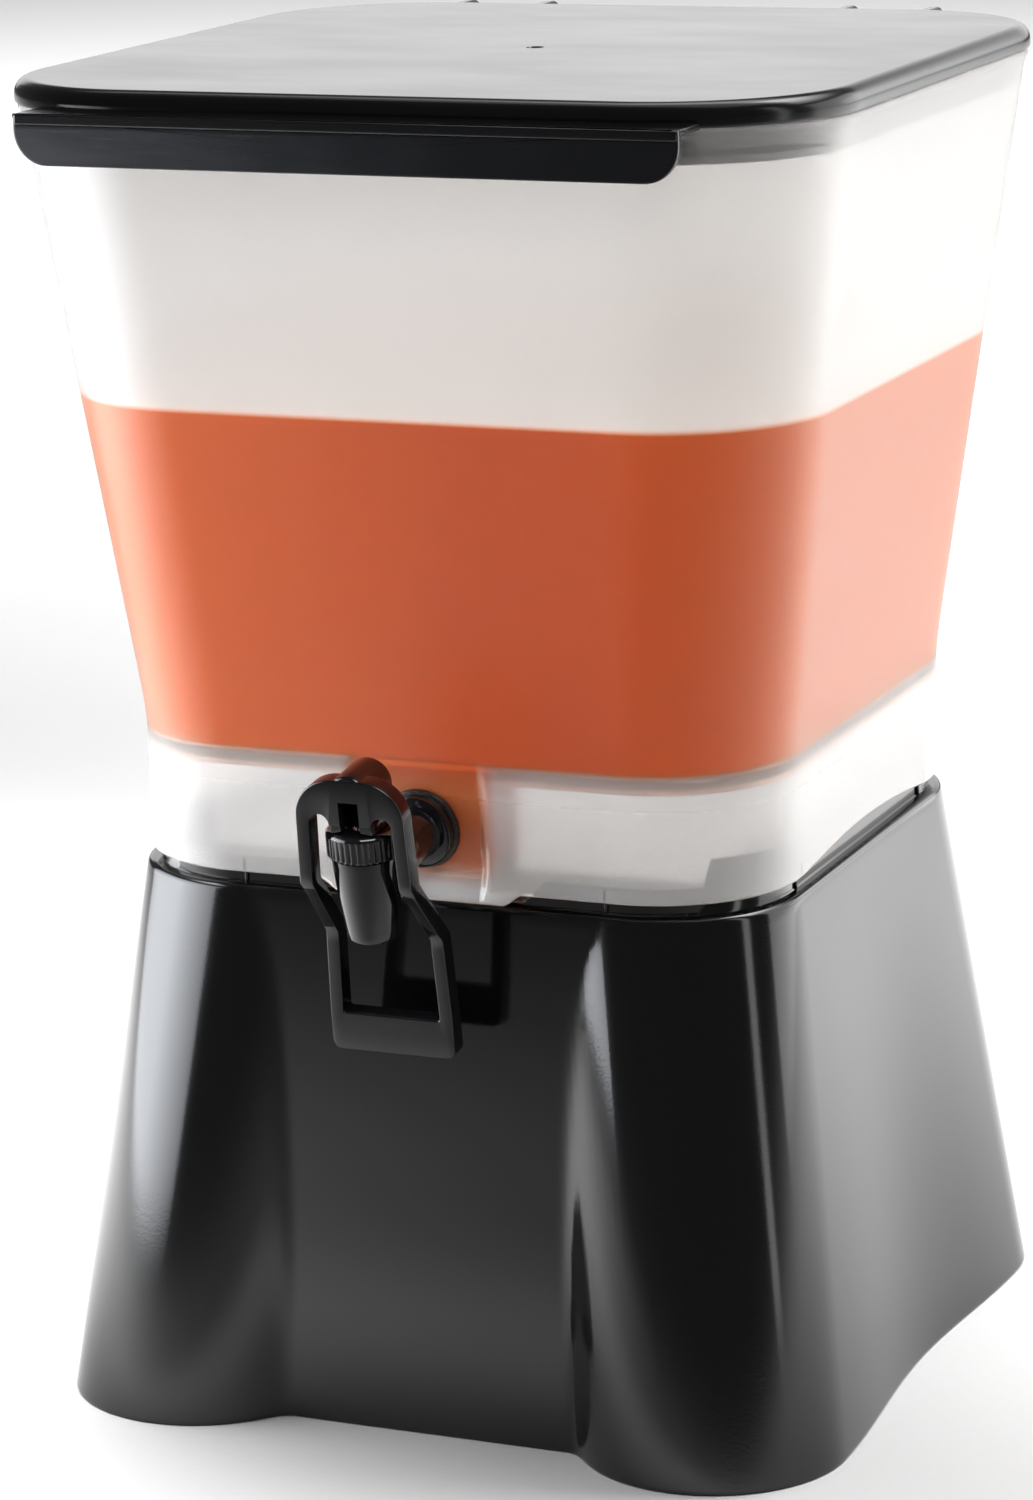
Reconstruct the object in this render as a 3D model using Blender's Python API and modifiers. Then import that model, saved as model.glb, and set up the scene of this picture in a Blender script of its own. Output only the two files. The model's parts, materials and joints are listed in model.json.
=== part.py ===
"""Three-gallon drink dispenser: a hollow stand, a tank that lifts off it, a hinged lid and a push-handle faucet.

Sizes are in metres, written in millimetres times MM. +Z is up and the faucet faces -Y. Every piece hangs on
the empty "dispenser", which stands on the floor at the middle of the stand. Faucet pieces hang on the empty
"faucet_frame": its local Z is the nozzle's axis and its local +Y runs along the shank into the tank.
"""

import math

import bmesh
import bpy
import numpy as np
from mathutils import Matrix

MM = 0.001
GAP = 0.3 * MM
CUT = 2.0 * MM

# Stand
SHOULDER_Z = 179.3 * MM
STAND_WALL = 3.0 * MM
STAND_TOP_HALF = 113.0 * MM
STAND_FOOT_HALF_X = 135.4 * MM
STAND_FOOT_HALF_Y = 139.0 * MM
STAND_CORNER_R = 44.5 * MM
STAND_PANEL_TOP = 112.6 * MM
STAND_PANEL_FOOT = 117.7 * MM
STAND_SIDE_BOW = 5.2 * MM
STAND_EDGE_R = 1.8 * MM

# Collar on the stand, inside the tank's skirt
COLLAR_HALF = 108.7 * MM
COLLAR_WALL = 2.6 * MM
COLLAR_LOW_Z = 188.4 * MM
COLLAR_TALL_Z = 197.0 * MM
COLLAR_RAMP = (63.1 * MM, 68.8 * MM)
COLLAR_NOTCH = (34.0 * MM, 42.0 * MM)

# Tank
TANK_WALL = 2.6 * MM
TANK_RIM_Z = 430.0 * MM
TANK_RIM_HALF = 139.0 * MM
TANK_RIM_R = 57.0 * MM
WAIST_Z = 228.0 * MM
WAIST_HALF = 112.0 * MM
WAIST_R = 45.0 * MM
FLOOR_Z = 223.0 * MM
SKIRT_Z = 183.5 * MM
SKIRT_ARCH = 4.5 * MM
SKIRT_ARCH_HALF = 62.0 * MM
TAB_HALF = (29.0 * MM, 34.0 * MM)
FLARE = (TANK_RIM_HALF - WAIST_HALF) / (TANK_RIM_Z - WAIST_Z)
SUPPORT_RIB_X = 84.0 * MM
SUPPORT_RIB_T = 2.4 * MM

# Sump, the low pocket behind the faucet
SUMP_RECESS = (19.5 * MM, 24.0 * MM)
SUMP_LEDGE_Z = (186.0 * MM, 188.4 * MM)
SUMP_OUTER = (27.0 * MM, 44.0 * MM, 183.8 * MM)
SUMP_INNER = (21.4 * MM, 38.0 * MM, 186.4 * MM)

# Lid
LID_TOP_Z = 438.0 * MM
LID_HALF = (140.0 * MM, 141.0 * MM)
LID_R = 58.0 * MM
LID_EDGE_R = 5.0 * MM
LID_WALL = 2.5 * MM
PLUG_HALF = 135.4 * MM
PLUG_Z = 419.0 * MM
VENT_R = 2.6 * MM
LIP_HALF = 109.0 * MM
LIP_FRONT = 157.0 * MM
LIP_Z = (416.5 * MM, 432.4 * MM)
LIP_T = 2.5 * MM
LIP_CORNER_R = 11.0 * MM

# Hinge at the back
HINGE_Y = 151.5 * MM
HINGE_Z = 431.0 * MM
LUG_X = (56.5 * MM, 87.2 * MM)
LUG_T = 3.3 * MM
LUG_R = 6.5 * MM
KNUCKLE_R = 4.8 * MM
HINGE_PIN_R = 2.0 * MM

# Faucet, in the faucet frame
SHANK_Z = 202.7 * MM
NOZZLE_REACH = 42.5 * MM
NOZZLE_R = (8.0 * MM, 11.0 * MM)
NOZZLE_Z = (-19.5 * MM, 8.7 * MM)
NECK_R = 9.0 * MM
NECK_Z = 14.8 * MM
CHAMBER_R = 7.0 * MM
SEAT_Z = -8.0 * MM
SEAT_R = 4.5 * MM
SHANK_R = 8.0 * MM
SHANK_BORE_R = 4.6 * MM
SHANK_END = 62.0 * MM
FLANGE_R = 12.0 * MM
FLANGE_T = 3.0 * MM
WASHER_R = 13.25 * MM
WASHER_T = 2.0 * MM
NUT_R = 13.5 * MM
NUT_T = 7.0 * MM
BONNET_R = 12.2 * MM
BONNET_Z = (9.0 * MM, 18.0 * MM)
BONNET_TOP_T = 2.4 * MM
STEM_R = 2.7 * MM
STEM_TOP = 28.2 * MM
PLUG_R = 6.3 * MM
SPRING_R = 5.4 * MM
SPRING_WIRE_R = 0.45 * MM
SPRING_TURNS = 5.5

# Handle, in the faucet frame
PIN_Z = 25.4 * MM
PIN_R = 1.0 * MM
HUB_HALF = 7.5 * MM
HUB_TOP = 37.5 * MM
HUB_BOTTOM = 18.4 * MM
HUB_BACK = 8.0 * MM
HUB_FRONT = -9.3 * MM
SLOT_HALF = 3.35 * MM
SLOT_TOP = 28.9 * MM
ARCH_HALF = 18.2 * MM
ARCH_TOP = 36.0 * MM
ARCH_R = 13.0 * MM
HANDLE_FRONT = -10.3 * MM
HANDLE_DEPTH = 7.0 * MM
HANDLE_STEP = 17.2 * MM
BEND_Z = (1.0 * MM, -22.7 * MM)
LOOP_BOTTOM = -63.4 * MM
LOOP_HALF = 21.0 * MM
LOOP_BAR = 13.0 * MM
ARM_W = 4.3 * MM
TONGUE_HALF = 7.1 * MM
TONGUE_Z = 21.0 * MM

# Place of the faucet frame and of the whole object, whose box is centred on the origin
TILT = math.atan(FLARE)
WALL_Y = WAIST_HALF - (WAIST_Z - SHANK_Z) * FLARE
FAUCET_Y = -WALL_Y - NOZZLE_REACH * math.cos(TILT)
FAUCET_Z = SHANK_Z - NOZZLE_REACH * math.sin(TILT)
FRONT_REACH = -FAUCET_Y - HANDLE_FRONT * math.cos(TILT) + ARCH_TOP * math.sin(TILT)
BACK_REACH = HINGE_Y + LUG_R
CENTRE_Y = (FRONT_REACH - BACK_REACH) / 2


def clear_scene():
    for obj in list(bpy.data.objects):
        bpy.data.objects.remove(obj, do_unlink=True)


def new_collection(name, helper=False):
    collection = bpy.data.collections.new(name)
    collection.hide_render = helper
    bpy.context.scene.collection.children.link(collection)
    return collection


def plastic(name, colour, roughness, metallic=0.0, alpha=1.0):
    material = bpy.data.materials.new(name)
    material.use_nodes = True
    shader = material.node_tree.nodes["Principled BSDF"]
    shader.inputs["Base Color"].default_value = (*colour, 1.0)
    shader.inputs["Roughness"].default_value = roughness
    shader.inputs["Metallic"].default_value = metallic
    shader.inputs["Alpha"].default_value = alpha
    return material


def place(obj, parent, location=(0, 0, 0), rotation=(0, 0, 0)):
    obj.parent = parent
    obj.location = location
    obj.rotation_euler = rotation
    return obj


def mesh_object(name, shape, collection, material=None):
    """An object from a bmesh, shaded smooth with its sharp edges kept."""
    mesh = bpy.data.meshes.new(name)
    bmesh.ops.recalc_face_normals(shape, faces=shape.faces)
    shape.to_mesh(mesh)
    shape.free()
    mesh.shade_smooth()
    mesh.set_sharp_from_angle(angle=math.radians(35))
    obj = bpy.data.objects.new(name, mesh)
    collection.objects.link(obj)
    if material:
        mesh.materials.append(material)
    if collection.hide_render:
        obj.hide_render = True
        obj.display_type = "WIRE"
    return obj


def boolean(target, other, operation="DIFFERENCE"):
    modifier = target.modifiers.new(f"{operation.lower()}_{other.name}", "BOOLEAN")
    modifier.operation = operation
    modifier.solver = "EXACT"
    modifier.object = other


def box(low, high):
    shape = bmesh.new()
    bmesh.ops.create_cube(shape, size=1.0)
    size = np.subtract(high, low)
    bmesh.ops.scale(shape, vec=size, verts=shape.verts)
    bmesh.ops.translate(shape, vec=np.add(low, high) / 2, verts=shape.verts)
    return shape


def rod(radius, start, end, axis="Z", sides=32):
    """A cylinder along one axis, from start to end."""
    shape = bmesh.new()
    bmesh.ops.create_cone(
        shape,
        cap_ends=True,
        segments=sides,
        radius1=radius,
        radius2=radius,
        depth=end - start,
    )
    bmesh.ops.translate(shape, vec=(0, 0, (start + end) / 2), verts=shape.verts)
    turn = {"Z": (0, 0, 0), "Y": (-math.pi / 2, 0, 0), "X": (0, math.pi / 2, 0)}[axis]
    for angle, around in zip(turn, "XYZ"):
        if angle:
            bmesh.ops.rotate(
                shape, verts=shape.verts, matrix=Matrix.Rotation(angle, 3, around)
            )
    return shape


def loft(rings, ends=True):
    """A skin through rings of equally many points. With ends it is capped, without them it closes on itself."""
    shape = bmesh.new()
    loops = [[shape.verts.new(point) for point in ring] for ring in rings]
    pairs = list(zip(loops, loops[1:]))
    if not ends:
        pairs.append((loops[-1], loops[0]))
    count = len(loops[0])
    for low, high in pairs:
        for i in range(count):
            j = (i + 1) % count
            shape.faces.new((low[i], low[j], high[j], high[i]))
    if ends:
        shape.faces.new(loops[0][::-1])
        shape.faces.new(loops[-1])
    return shape


def extruded(name, outlines, depth, collection, along="Y", material=None):
    """A flat outline with its holes, given thickness. Outline points are (x, z) along Y, or (y, z) along X."""
    curve = bpy.data.curves.new(name, "CURVE")
    curve.dimensions = "2D"
    curve.fill_mode = "BOTH"
    curve.extrude = depth / 2
    for outline in outlines:
        spline = curve.splines.new("POLY")
        spline.points.add(len(outline) - 1)
        spline.use_cyclic_u = True
        for point, (u, v) in zip(spline.points, outline):
            point.co = (u, v, 0, 1)
    guide = bpy.data.objects.new(name + "_outline", curve)
    collection.objects.link(guide)
    graph = bpy.context.evaluated_depsgraph_get()
    mesh = bpy.data.meshes.new_from_object(guide.evaluated_get(graph))
    bpy.data.objects.remove(guide, do_unlink=True)
    shape = bmesh.new()
    shape.from_mesh(mesh)
    bpy.data.meshes.remove(mesh)
    bmesh.ops.remove_doubles(shape, verts=shape.verts, dist=0.001 * MM)
    bmesh.ops.rotate(
        shape, verts=shape.verts, matrix=Matrix.Rotation(math.pi / 2, 3, "X")
    )
    if along == "X":
        bmesh.ops.rotate(
            shape, verts=shape.verts, matrix=Matrix.Rotation(math.pi / 2, 3, "Z")
        )
    return mesh_object(name, shape, collection, material)


def turned(name, profile, collection, material=None, steps=32):
    """A closed profile of (radius, z) points, run down its outer side first, turned about Z."""
    mesh = bpy.data.meshes.new(name)
    points = [(radius, 0, z) for radius, z in profile]
    count = len(points)
    mesh.from_pydata(points, [(i, (i + 1) % count) for i in range(count)], [])
    if material:
        mesh.materials.append(material)
    obj = bpy.data.objects.new(name, mesh)
    collection.objects.link(obj)
    screw = obj.modifiers.new("turn", "SCREW")
    screw.axis = "Z"
    screw.steps = steps
    screw.render_steps = steps
    screw.use_merge_vertices = True
    screw.merge_threshold = 0.00001
    screw.use_smooth_shade = True
    if collection.hide_render:
        obj.hide_render = True
        obj.display_type = "WIRE"
    return obj


def arc(centre, radius, start, end, steps):
    """Points on an arc about centre, from one angle in degrees to another."""
    angles = np.radians(np.linspace(start, end, steps + 1))
    return [
        (centre[0] + radius * math.cos(a), centre[1] + radius * math.sin(a))
        for a in angles
    ]


def four_quarters(quarter):
    """Mirrors a quarter outline, which runs from +X to +Y, into the whole outline."""
    quarter = np.array(quarter)
    left = (quarter * (-1, 1))[::-1][1:]
    below = quarter * (-1, -1)
    right = (quarter * (1, -1))[::-1][1:-1]
    return np.concatenate([quarter, left, below[1:], right])


def with_height(outline, z):
    """Outline points with a height, which is one number or one for each point."""
    return np.column_stack([outline, np.broadcast_to(z, len(outline))])


def rounded_square(half_x, half_y, radius):
    """The outline of the tank, collar and lid, with breaks along its flats where details start."""
    flats = np.array([0, 25, 50]) * MM
    front = np.array([50, 34, 29, 24, 19.5, 12, 0]) * MM
    quarter = [(half_x, y) for y in flats]
    quarter += arc((half_x - radius, half_y - radius), radius, 0, 90, 7)
    quarter += [(x, half_y) for x in front]
    return four_quarters(quarter)


def stand_outline(t, inset):
    """The stand's outline at t of its height, 0 on the floor and 1 at the shoulder.

    Four round buttresses stand at the corners. The front and back panels run straight between them, and the
    sides bow in a little.
    """
    reach_x = STAND_FOOT_HALF_X + (STAND_TOP_HALF - STAND_FOOT_HALF_X) * t
    reach_y = STAND_FOOT_HALF_Y + (STAND_TOP_HALF - STAND_FOOT_HALF_Y) * t
    centre_x = reach_x - STAND_CORNER_R
    centre_y = reach_y - STAND_CORNER_R
    radius = STAND_CORNER_R - inset
    panel = STAND_PANEL_FOOT + (STAND_PANEL_TOP - STAND_PANEL_FOOT) * t - inset
    valley = 180 - math.degrees(math.asin((panel - centre_y) / radius))
    side = []
    for share in np.linspace(0, 1, 5)[:-1]:
        bow = STAND_SIDE_BOW * (1 - t) * math.cos(math.pi / 2 * share) ** 2
        side.append((centre_x + radius - bow, centre_y * share))
    corner = arc((centre_x, centre_y), radius, 0, valley, 11)
    valley_x = corner[-1][0]
    panel_points = [(valley_x * share, panel) for share in (0.66, 0.33, 0)]
    return four_quarters(side + corner + panel_points)


def stand_ring(z, inset=0.0):
    return with_height(stand_outline(z / SHOULDER_Z, inset), z)


def collar_top(outline):
    """The height of the collar's top edge: tall corners, low sides and a notch for the tank's front tab."""
    nearest = np.minimum(np.abs(outline[:, 0]), np.abs(outline[:, 1]))
    top = np.interp(nearest, COLLAR_RAMP, (COLLAR_LOW_Z, COLLAR_TALL_Z))
    front = outline[:, 1] < -COLLAR_HALF + COLLAR_WALL + MM
    notch = np.interp(np.abs(outline[:, 0]), COLLAR_NOTCH, (SHOULDER_Z + MM, COLLAR_LOW_Z))
    return np.where(front, np.minimum(top, notch), top)


def collar_outline(half):
    """The collar's outline, with points where its top edge starts and ends each ramp."""
    radius = WAIST_R - 3 * MM - (COLLAR_HALF - half)
    corner = half - radius
    flat = np.array([0, 34, 42, 63.1]) * MM
    quarter = [(half, y) for y in flat]
    quarter += arc((corner, corner), radius, 0, 90, 8)
    quarter += [(x, half) for x in flat[::-1]]
    return four_quarters(quarter)


def make_stand(parts, cutters, root, material):
    heights = np.array([0, 35, 70, 105, 135, 158, 172, 177.5]) * MM
    rings = [stand_ring(z) for z in heights]
    rings.append(with_height(stand_outline(1.0, STAND_EDGE_R), SHOULDER_Z))
    stand = mesh_object("base_stand", loft(rings), parts, material)
    hollow = [stand_ring(z, STAND_WALL) for z in heights[:-1]]
    hollow.insert(0, with_height(stand_outline(0.0, STAND_WALL), -CUT))
    hollow.append(with_height(stand_outline(0.98, STAND_WALL), SHOULDER_Z - STAND_WALL))
    boolean(stand, place(mesh_object("stand_hollow", loft(hollow), cutters), root))
    outer = collar_outline(COLLAR_HALF)
    inner = collar_outline(COLLAR_HALF - COLLAR_WALL)
    collar_rings = [
        with_height(outer, SHOULDER_Z - MM),
        with_height(outer, collar_top(outer)),
        with_height(inner, collar_top(outer)),
        with_height(inner, SHOULDER_Z - MM),
    ]
    collar = mesh_object("stand_collar", loft(collar_rings, ends=False), cutters)
    boolean(stand, place(collar, root), "UNION")
    return place(stand, root)


def tank_half(z):
    return WAIST_HALF + max(0.0, z - WAIST_Z) * FLARE


def tank_corner(z):
    share = max(0.0, z - WAIST_Z) / (TANK_RIM_Z - WAIST_Z)
    return WAIST_R + (TANK_RIM_R - WAIST_R) * share


def tank_outline(z, inset=0.0):
    half = tank_half(z) - inset
    return rounded_square(half, half, tank_corner(z) - inset)


def sump_recess(outline, z):
    """Moves the front wall back where the sump continues the tank's flare below the waist."""
    window = np.interp(np.abs(outline[:, 0]), SUMP_RECESS, (1, 0))
    depth = (WAIST_Z - z) * FLARE
    moved = outline.copy()
    moved[:, 1] += np.where(outline[:, 1] < -WAIST_HALF + MM, window * depth, 0)
    return moved


def skirt_edge(outline):
    """The height of the skirt's bottom edge: arched at the sides, with a tab at the front."""
    x, y = np.abs(outline[:, 0]), outline[:, 1]
    arch = SKIRT_ARCH * np.cos(np.pi / 2 * np.clip(np.abs(y) / SKIRT_ARCH_HALF, 0, 1))
    edge = SKIRT_Z + np.where(x > WAIST_HALF - MM, arch, 0)
    tab = np.interp(x, TAB_HALF, (SHOULDER_Z + GAP, SKIRT_Z))
    return np.where(y < -WAIST_HALF + MM, tab, edge)


def sump_box(size, inset, name, cutters, root, top):
    """A block behind the sloping front wall. Its size is half-width, depth from the wall and bottom height."""
    half, depth, bottom = size
    front = -WAIST_HALF + inset
    shape = box((-half, front, bottom), (half, -WAIST_HALF + depth, top))
    for vertex in shape.verts:
        if vertex.co.y < front + MM:
            vertex.co.y += (WAIST_Z - vertex.co.z) * FLARE * (inset > 0)
    upright = [e for e in shape.edges if abs(e.verts[0].co.z - e.verts[1].co.z) > MM]
    bmesh.ops.bevel(
        shape, geom=upright, offset=5 * MM, segments=3, affect="EDGES", profile=0.5
    )
    return place(mesh_object(name, shape, cutters), root)


def make_tank(parts, cutters, root, faucet, material):
    bottom = tank_outline(SKIRT_Z)
    rings = [with_height(bottom, skirt_edge(bottom))]
    rings.append(with_height(tank_outline(SUMP_LEDGE_Z[0]), SUMP_LEDGE_Z[0]))
    for z in (SUMP_LEDGE_Z[1], 209 * MM, WAIST_Z):
        rings.append(with_height(sump_recess(tank_outline(z), z), z))
    rings.append(with_height(tank_outline(TANK_RIM_Z), TANK_RIM_Z))
    tank = mesh_object("tank", loft(rings), parts, material)

    above = TANK_RIM_Z + CUT
    well = [(FLOOR_Z, 3 * MM), (FLOOR_Z + 2 * MM, 0.6 * MM), (WAIST_Z + 2 * MM, 0), (above, 0)]
    well_rings = [
        with_height(tank_outline(z, TANK_WALL + extra), z) for z, extra in well
    ]
    boolean(tank, place(mesh_object("tank_well", loft(well_rings), cutters), root))

    under = [SKIRT_Z - 8 * MM, FLOOR_Z - TANK_WALL]
    under_rings = [with_height(tank_outline(SKIRT_Z, TANK_WALL), z) for z in under]
    underside = mesh_object("tank_underside", loft(under_rings), cutters)
    sump = sump_box(SUMP_OUTER, 0, "sump_block", cutters, root, FLOOR_Z)
    boolean(underside, sump)
    rib_low = COLLAR_TALL_Z + GAP
    for i, (sx, sy) in enumerate(((1, 1), (1, -1), (-1, 1), (-1, -1))):
        x = sorted((sx * (SUPPORT_RIB_X - SUPPORT_RIB_T), sx * SUPPORT_RIB_X))
        y = sorted((sy * 84 * MM, sy * 112 * MM))
        rib = mesh_object(
            f"support_rib_{i}", box((x[0], y[0], rib_low), (x[1], y[1], FLOOR_Z)), cutters
        )
        boolean(underside, place(rib, root))
    boolean(tank, place(underside, root))

    pocket_top = FLOOR_Z + MM
    boolean(tank, sump_box(SUMP_INNER, TANK_WALL, "sump_pocket", cutters, root, pocket_top))
    hole = rod(SHANK_R + 0.6 * MM, NOZZLE_REACH - 8 * MM, NOZZLE_REACH + 12 * MM, "Y")
    boolean(tank, place(mesh_object("faucet_hole", hole, cutters), faucet))

    low, high = LUG_X[0] + LUG_T / 2 + 0.45 * MM, LUG_X[1] - LUG_T / 2 - 0.45 * MM
    for side, name in ((-1, "left"), (1, "right")):
        web = [
            (TANK_RIM_HALF - 3.6 * MM, HINGE_Z - 21 * MM),
            (HINGE_Y - KNUCKLE_R * 0.7, HINGE_Z - 8 * MM),
        ]
        web += arc((HINGE_Y, HINGE_Z), KNUCKLE_R, -50, 130, 9)
        web += [
            (HINGE_Y - KNUCKLE_R - 1.2 * MM, HINGE_Z - 2.6 * MM),
            (TANK_RIM_HALF - 1.6 * MM, HINGE_Z - 2.6 * MM),
        ]
        knuckle = extruded(f"knuckle_{name}", [web], high - low, cutters, along="X")
        place(knuckle, root, (side * (low + high) / 2, 0, 0))
        boolean(tank, knuckle, "UNION")
        bore = rod(HINGE_PIN_R + GAP, low - 3 * MM, high + 3 * MM, "X", 20)
        bore = mesh_object(f"knuckle_bore_{name}", bore, cutters)
        place(bore, root, (0, HINGE_Y, HINGE_Z), (0, 0, math.pi if side < 0 else 0))
        boolean(tank, bore)
    return place(tank, root)


def make_lid(parts, cutters, root, material):
    """The lid's mesh is drawn about its hinge axis, so its origin is on that axis."""
    shift = np.array((0, HINGE_Y, HINGE_Z))

    def ring(inset, z, half=LID_HALF, radius=LID_R):
        outline = rounded_square(half[0] - inset, half[1] - inset, radius - inset)
        return with_height(outline, z) - shift

    rim_z = TANK_RIM_Z + GAP
    rings = [ring(0, rim_z), ring(0, LID_TOP_Z - LID_EDGE_R)]
    for angle in (30, 60, 90):
        inset = LID_EDGE_R * (1 - math.cos(math.radians(angle)))
        rise = LID_EDGE_R * (1 - math.sin(math.radians(angle)))
        rings.append(ring(inset, LID_TOP_Z - rise))
    lid = mesh_object("lid", loft(rings), parts, material)
    place(lid, root, shift)

    plug_half = (PLUG_HALF, PLUG_HALF)
    plug_r = TANK_RIM_R - (TANK_RIM_HALF - PLUG_HALF)
    lead_in = 1.6 * MM
    plug_rings = [
        ring(lead_in, PLUG_Z, plug_half, plug_r),
        ring(0, rim_z + 2 * MM, plug_half, plug_r),
    ]
    plug = place(mesh_object("lid_plug", loft(plug_rings), cutters), root, shift)
    boolean(lid, plug, "UNION")
    hollow_rings = [
        ring(lead_in + LID_WALL, PLUG_Z - CUT, plug_half, plug_r),
        ring(LID_WALL, LID_TOP_Z - LID_WALL, plug_half, plug_r),
    ]
    hollow = place(mesh_object("lid_hollow", loft(hollow_rings), cutters), root, shift)
    boolean(lid, hollow)

    inner_face = LID_HALF[1] - 3 * MM
    flange = box(
        (-LIP_HALF, -LIP_FRONT + MM, LIP_Z[1] - 2.1 * MM),
        (LIP_HALF, -inner_face, LIP_Z[1]),
    )
    bmesh.ops.translate(flange, vec=-shift, verts=flange.verts)
    boolean(lid, place(mesh_object("lip_flange", flange, cutters), root, shift), "UNION")
    low, high = LIP_Z
    plate = [(LIP_HALF, high), (-LIP_HALF, high)]
    plate += arc((LIP_CORNER_R - LIP_HALF, low + LIP_CORNER_R), LIP_CORNER_R, 180, 270, 6)
    plate += arc((LIP_HALF - LIP_CORNER_R, low + LIP_CORNER_R), LIP_CORNER_R, 270, 360, 6)
    grip = extruded("lip_plate", [plate], LIP_T, cutters)
    place(grip, root, (0, -LIP_FRONT + LIP_T / 2, 0))
    boolean(lid, grip, "UNION")

    for i, x in enumerate((-LUG_X[1], -LUG_X[0], LUG_X[0], LUG_X[1])):
        root_y = LID_HALF[1] - 4 * MM - HINGE_Y
        outline = [(root_y, TANK_RIM_Z + 2 * GAP - HINGE_Z), (-LUG_R * 0.9, -GAP)]
        outline += arc((0, 0), LUG_R, -150, 90, 12)
        outline += [(root_y, LUG_R - MM)]
        lug = extruded(f"hinge_lug_{i}", [outline], LUG_T, cutters, along="X")
        boolean(lid, place(lug, root, (x, HINGE_Y, HINGE_Z)), "UNION")
    for i, side in enumerate((-1, 1)):
        start, end = LUG_X[0] - 4 * MM, LUG_X[1] + 4 * MM
        bore = mesh_object(
            f"lug_bore_{i}", rod(HINGE_PIN_R + GAP, start, end, "X", 20), cutters
        )
        place(bore, root, (0, HINGE_Y, HINGE_Z), (0, 0, math.pi if side < 0 else 0))
        boolean(lid, bore)
    vent = mesh_object("lid_vent", rod(VENT_R, -CUT, 12 * MM, "Z", 24), cutters)
    boolean(lid, place(vent, root, (0, 0, LID_TOP_Z - 8 * MM)))
    return lid


def make_hinge_pins(parts, root, material):
    start, end = LUG_X[0] - LUG_T / 2 - 1.2 * MM, LUG_X[1] + LUG_T / 2 + 1.2 * MM
    for side, name in ((-1, "left"), (1, "right")):
        pin = rod(HINGE_PIN_R, start, end, "X", 20)
        pin = mesh_object(f"hinge_pin_{name}", pin, parts, material)
        place(pin, root, (0, HINGE_Y, HINGE_Z), (0, 0, math.pi if side < 0 else 0))


def make_faucet_body(parts, cutters, faucet, material):
    low, high = NOZZLE_Z
    outer = [
        (NECK_R, NECK_Z),
        (NECK_R, high),
        (NOZZLE_R[1], high),
        (NOZZLE_R[0], low),
        (SEAT_R + 0.8 * MM, low),
        (SEAT_R, SEAT_Z - 3 * MM),
        (SEAT_R, SEAT_Z),
        (CHAMBER_R, SEAT_Z),
        (CHAMBER_R, NECK_Z),
    ]
    body = turned("faucet_body", outer, parts, material)
    place(body, faucet)
    solid_start = CHAMBER_R + 0.8 * MM
    shank = mesh_object("shank_rod", rod(SHANK_R, solid_start, SHANK_END, "Y"), cutters)
    boolean(body, place(shank, faucet), "UNION")
    flange_end = NOZZLE_REACH - GAP - WASHER_T - GAP
    flange = rod(FLANGE_R, flange_end - FLANGE_T, flange_end, "Y")
    boolean(body, place(mesh_object("shank_flange", flange, cutters), faucet), "UNION")
    bore = rod(SHANK_BORE_R, 0, SHANK_END + CUT, "Y", 24)
    boolean(body, place(mesh_object("shank_bore", bore, cutters), faucet))


def washer(name, inner, outer, start, thickness, parts, faucet, material):
    """A flat ring on the shank, from start inwards."""
    profile = [
        (outer, thickness),
        (outer, 0),
        (inner, 0),
        (inner, thickness),
    ]
    ring = turned(name, profile, parts, material)
    place(ring, faucet, (0, start, 0), (-math.pi / 2, 0, 0))


def make_shank_fittings(parts, cutters, faucet, rubber, nut_material):
    hole = SHANK_R + GAP
    start = NOZZLE_REACH - GAP - WASHER_T
    washer("outer_washer", hole, WASHER_R, start, WASHER_T, parts, faucet, rubber)
    start = NOZZLE_REACH + TANK_WALL + GAP
    washer("inner_washer", hole, WASHER_R - MM, start, WASHER_T, parts, faucet, rubber)
    start += WASHER_T + GAP
    nut = rod(NUT_R, start, start + NUT_T, "Y", 6)
    nut = mesh_object("shank_nut", nut, parts, nut_material)
    place(nut, faucet)
    bore = rod(hole, start - CUT, start + NUT_T + CUT, "Y")
    boolean(nut, place(mesh_object("nut_bore", bore, cutters), faucet))


def make_bonnet(parts, faucet, material):
    low, high = BONNET_Z
    bore = STEM_R + GAP
    profile = [
        (BONNET_R - 1.2 * MM, high),
        (BONNET_R, high - 1.2 * MM),
        (BONNET_R, low),
        (NECK_R + GAP, low),
        (NECK_R + GAP, high - BONNET_TOP_T),
        (bore, high - BONNET_TOP_T),
        (bore, high),
    ]
    place(turned("bonnet", profile, parts, material), faucet)


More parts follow.
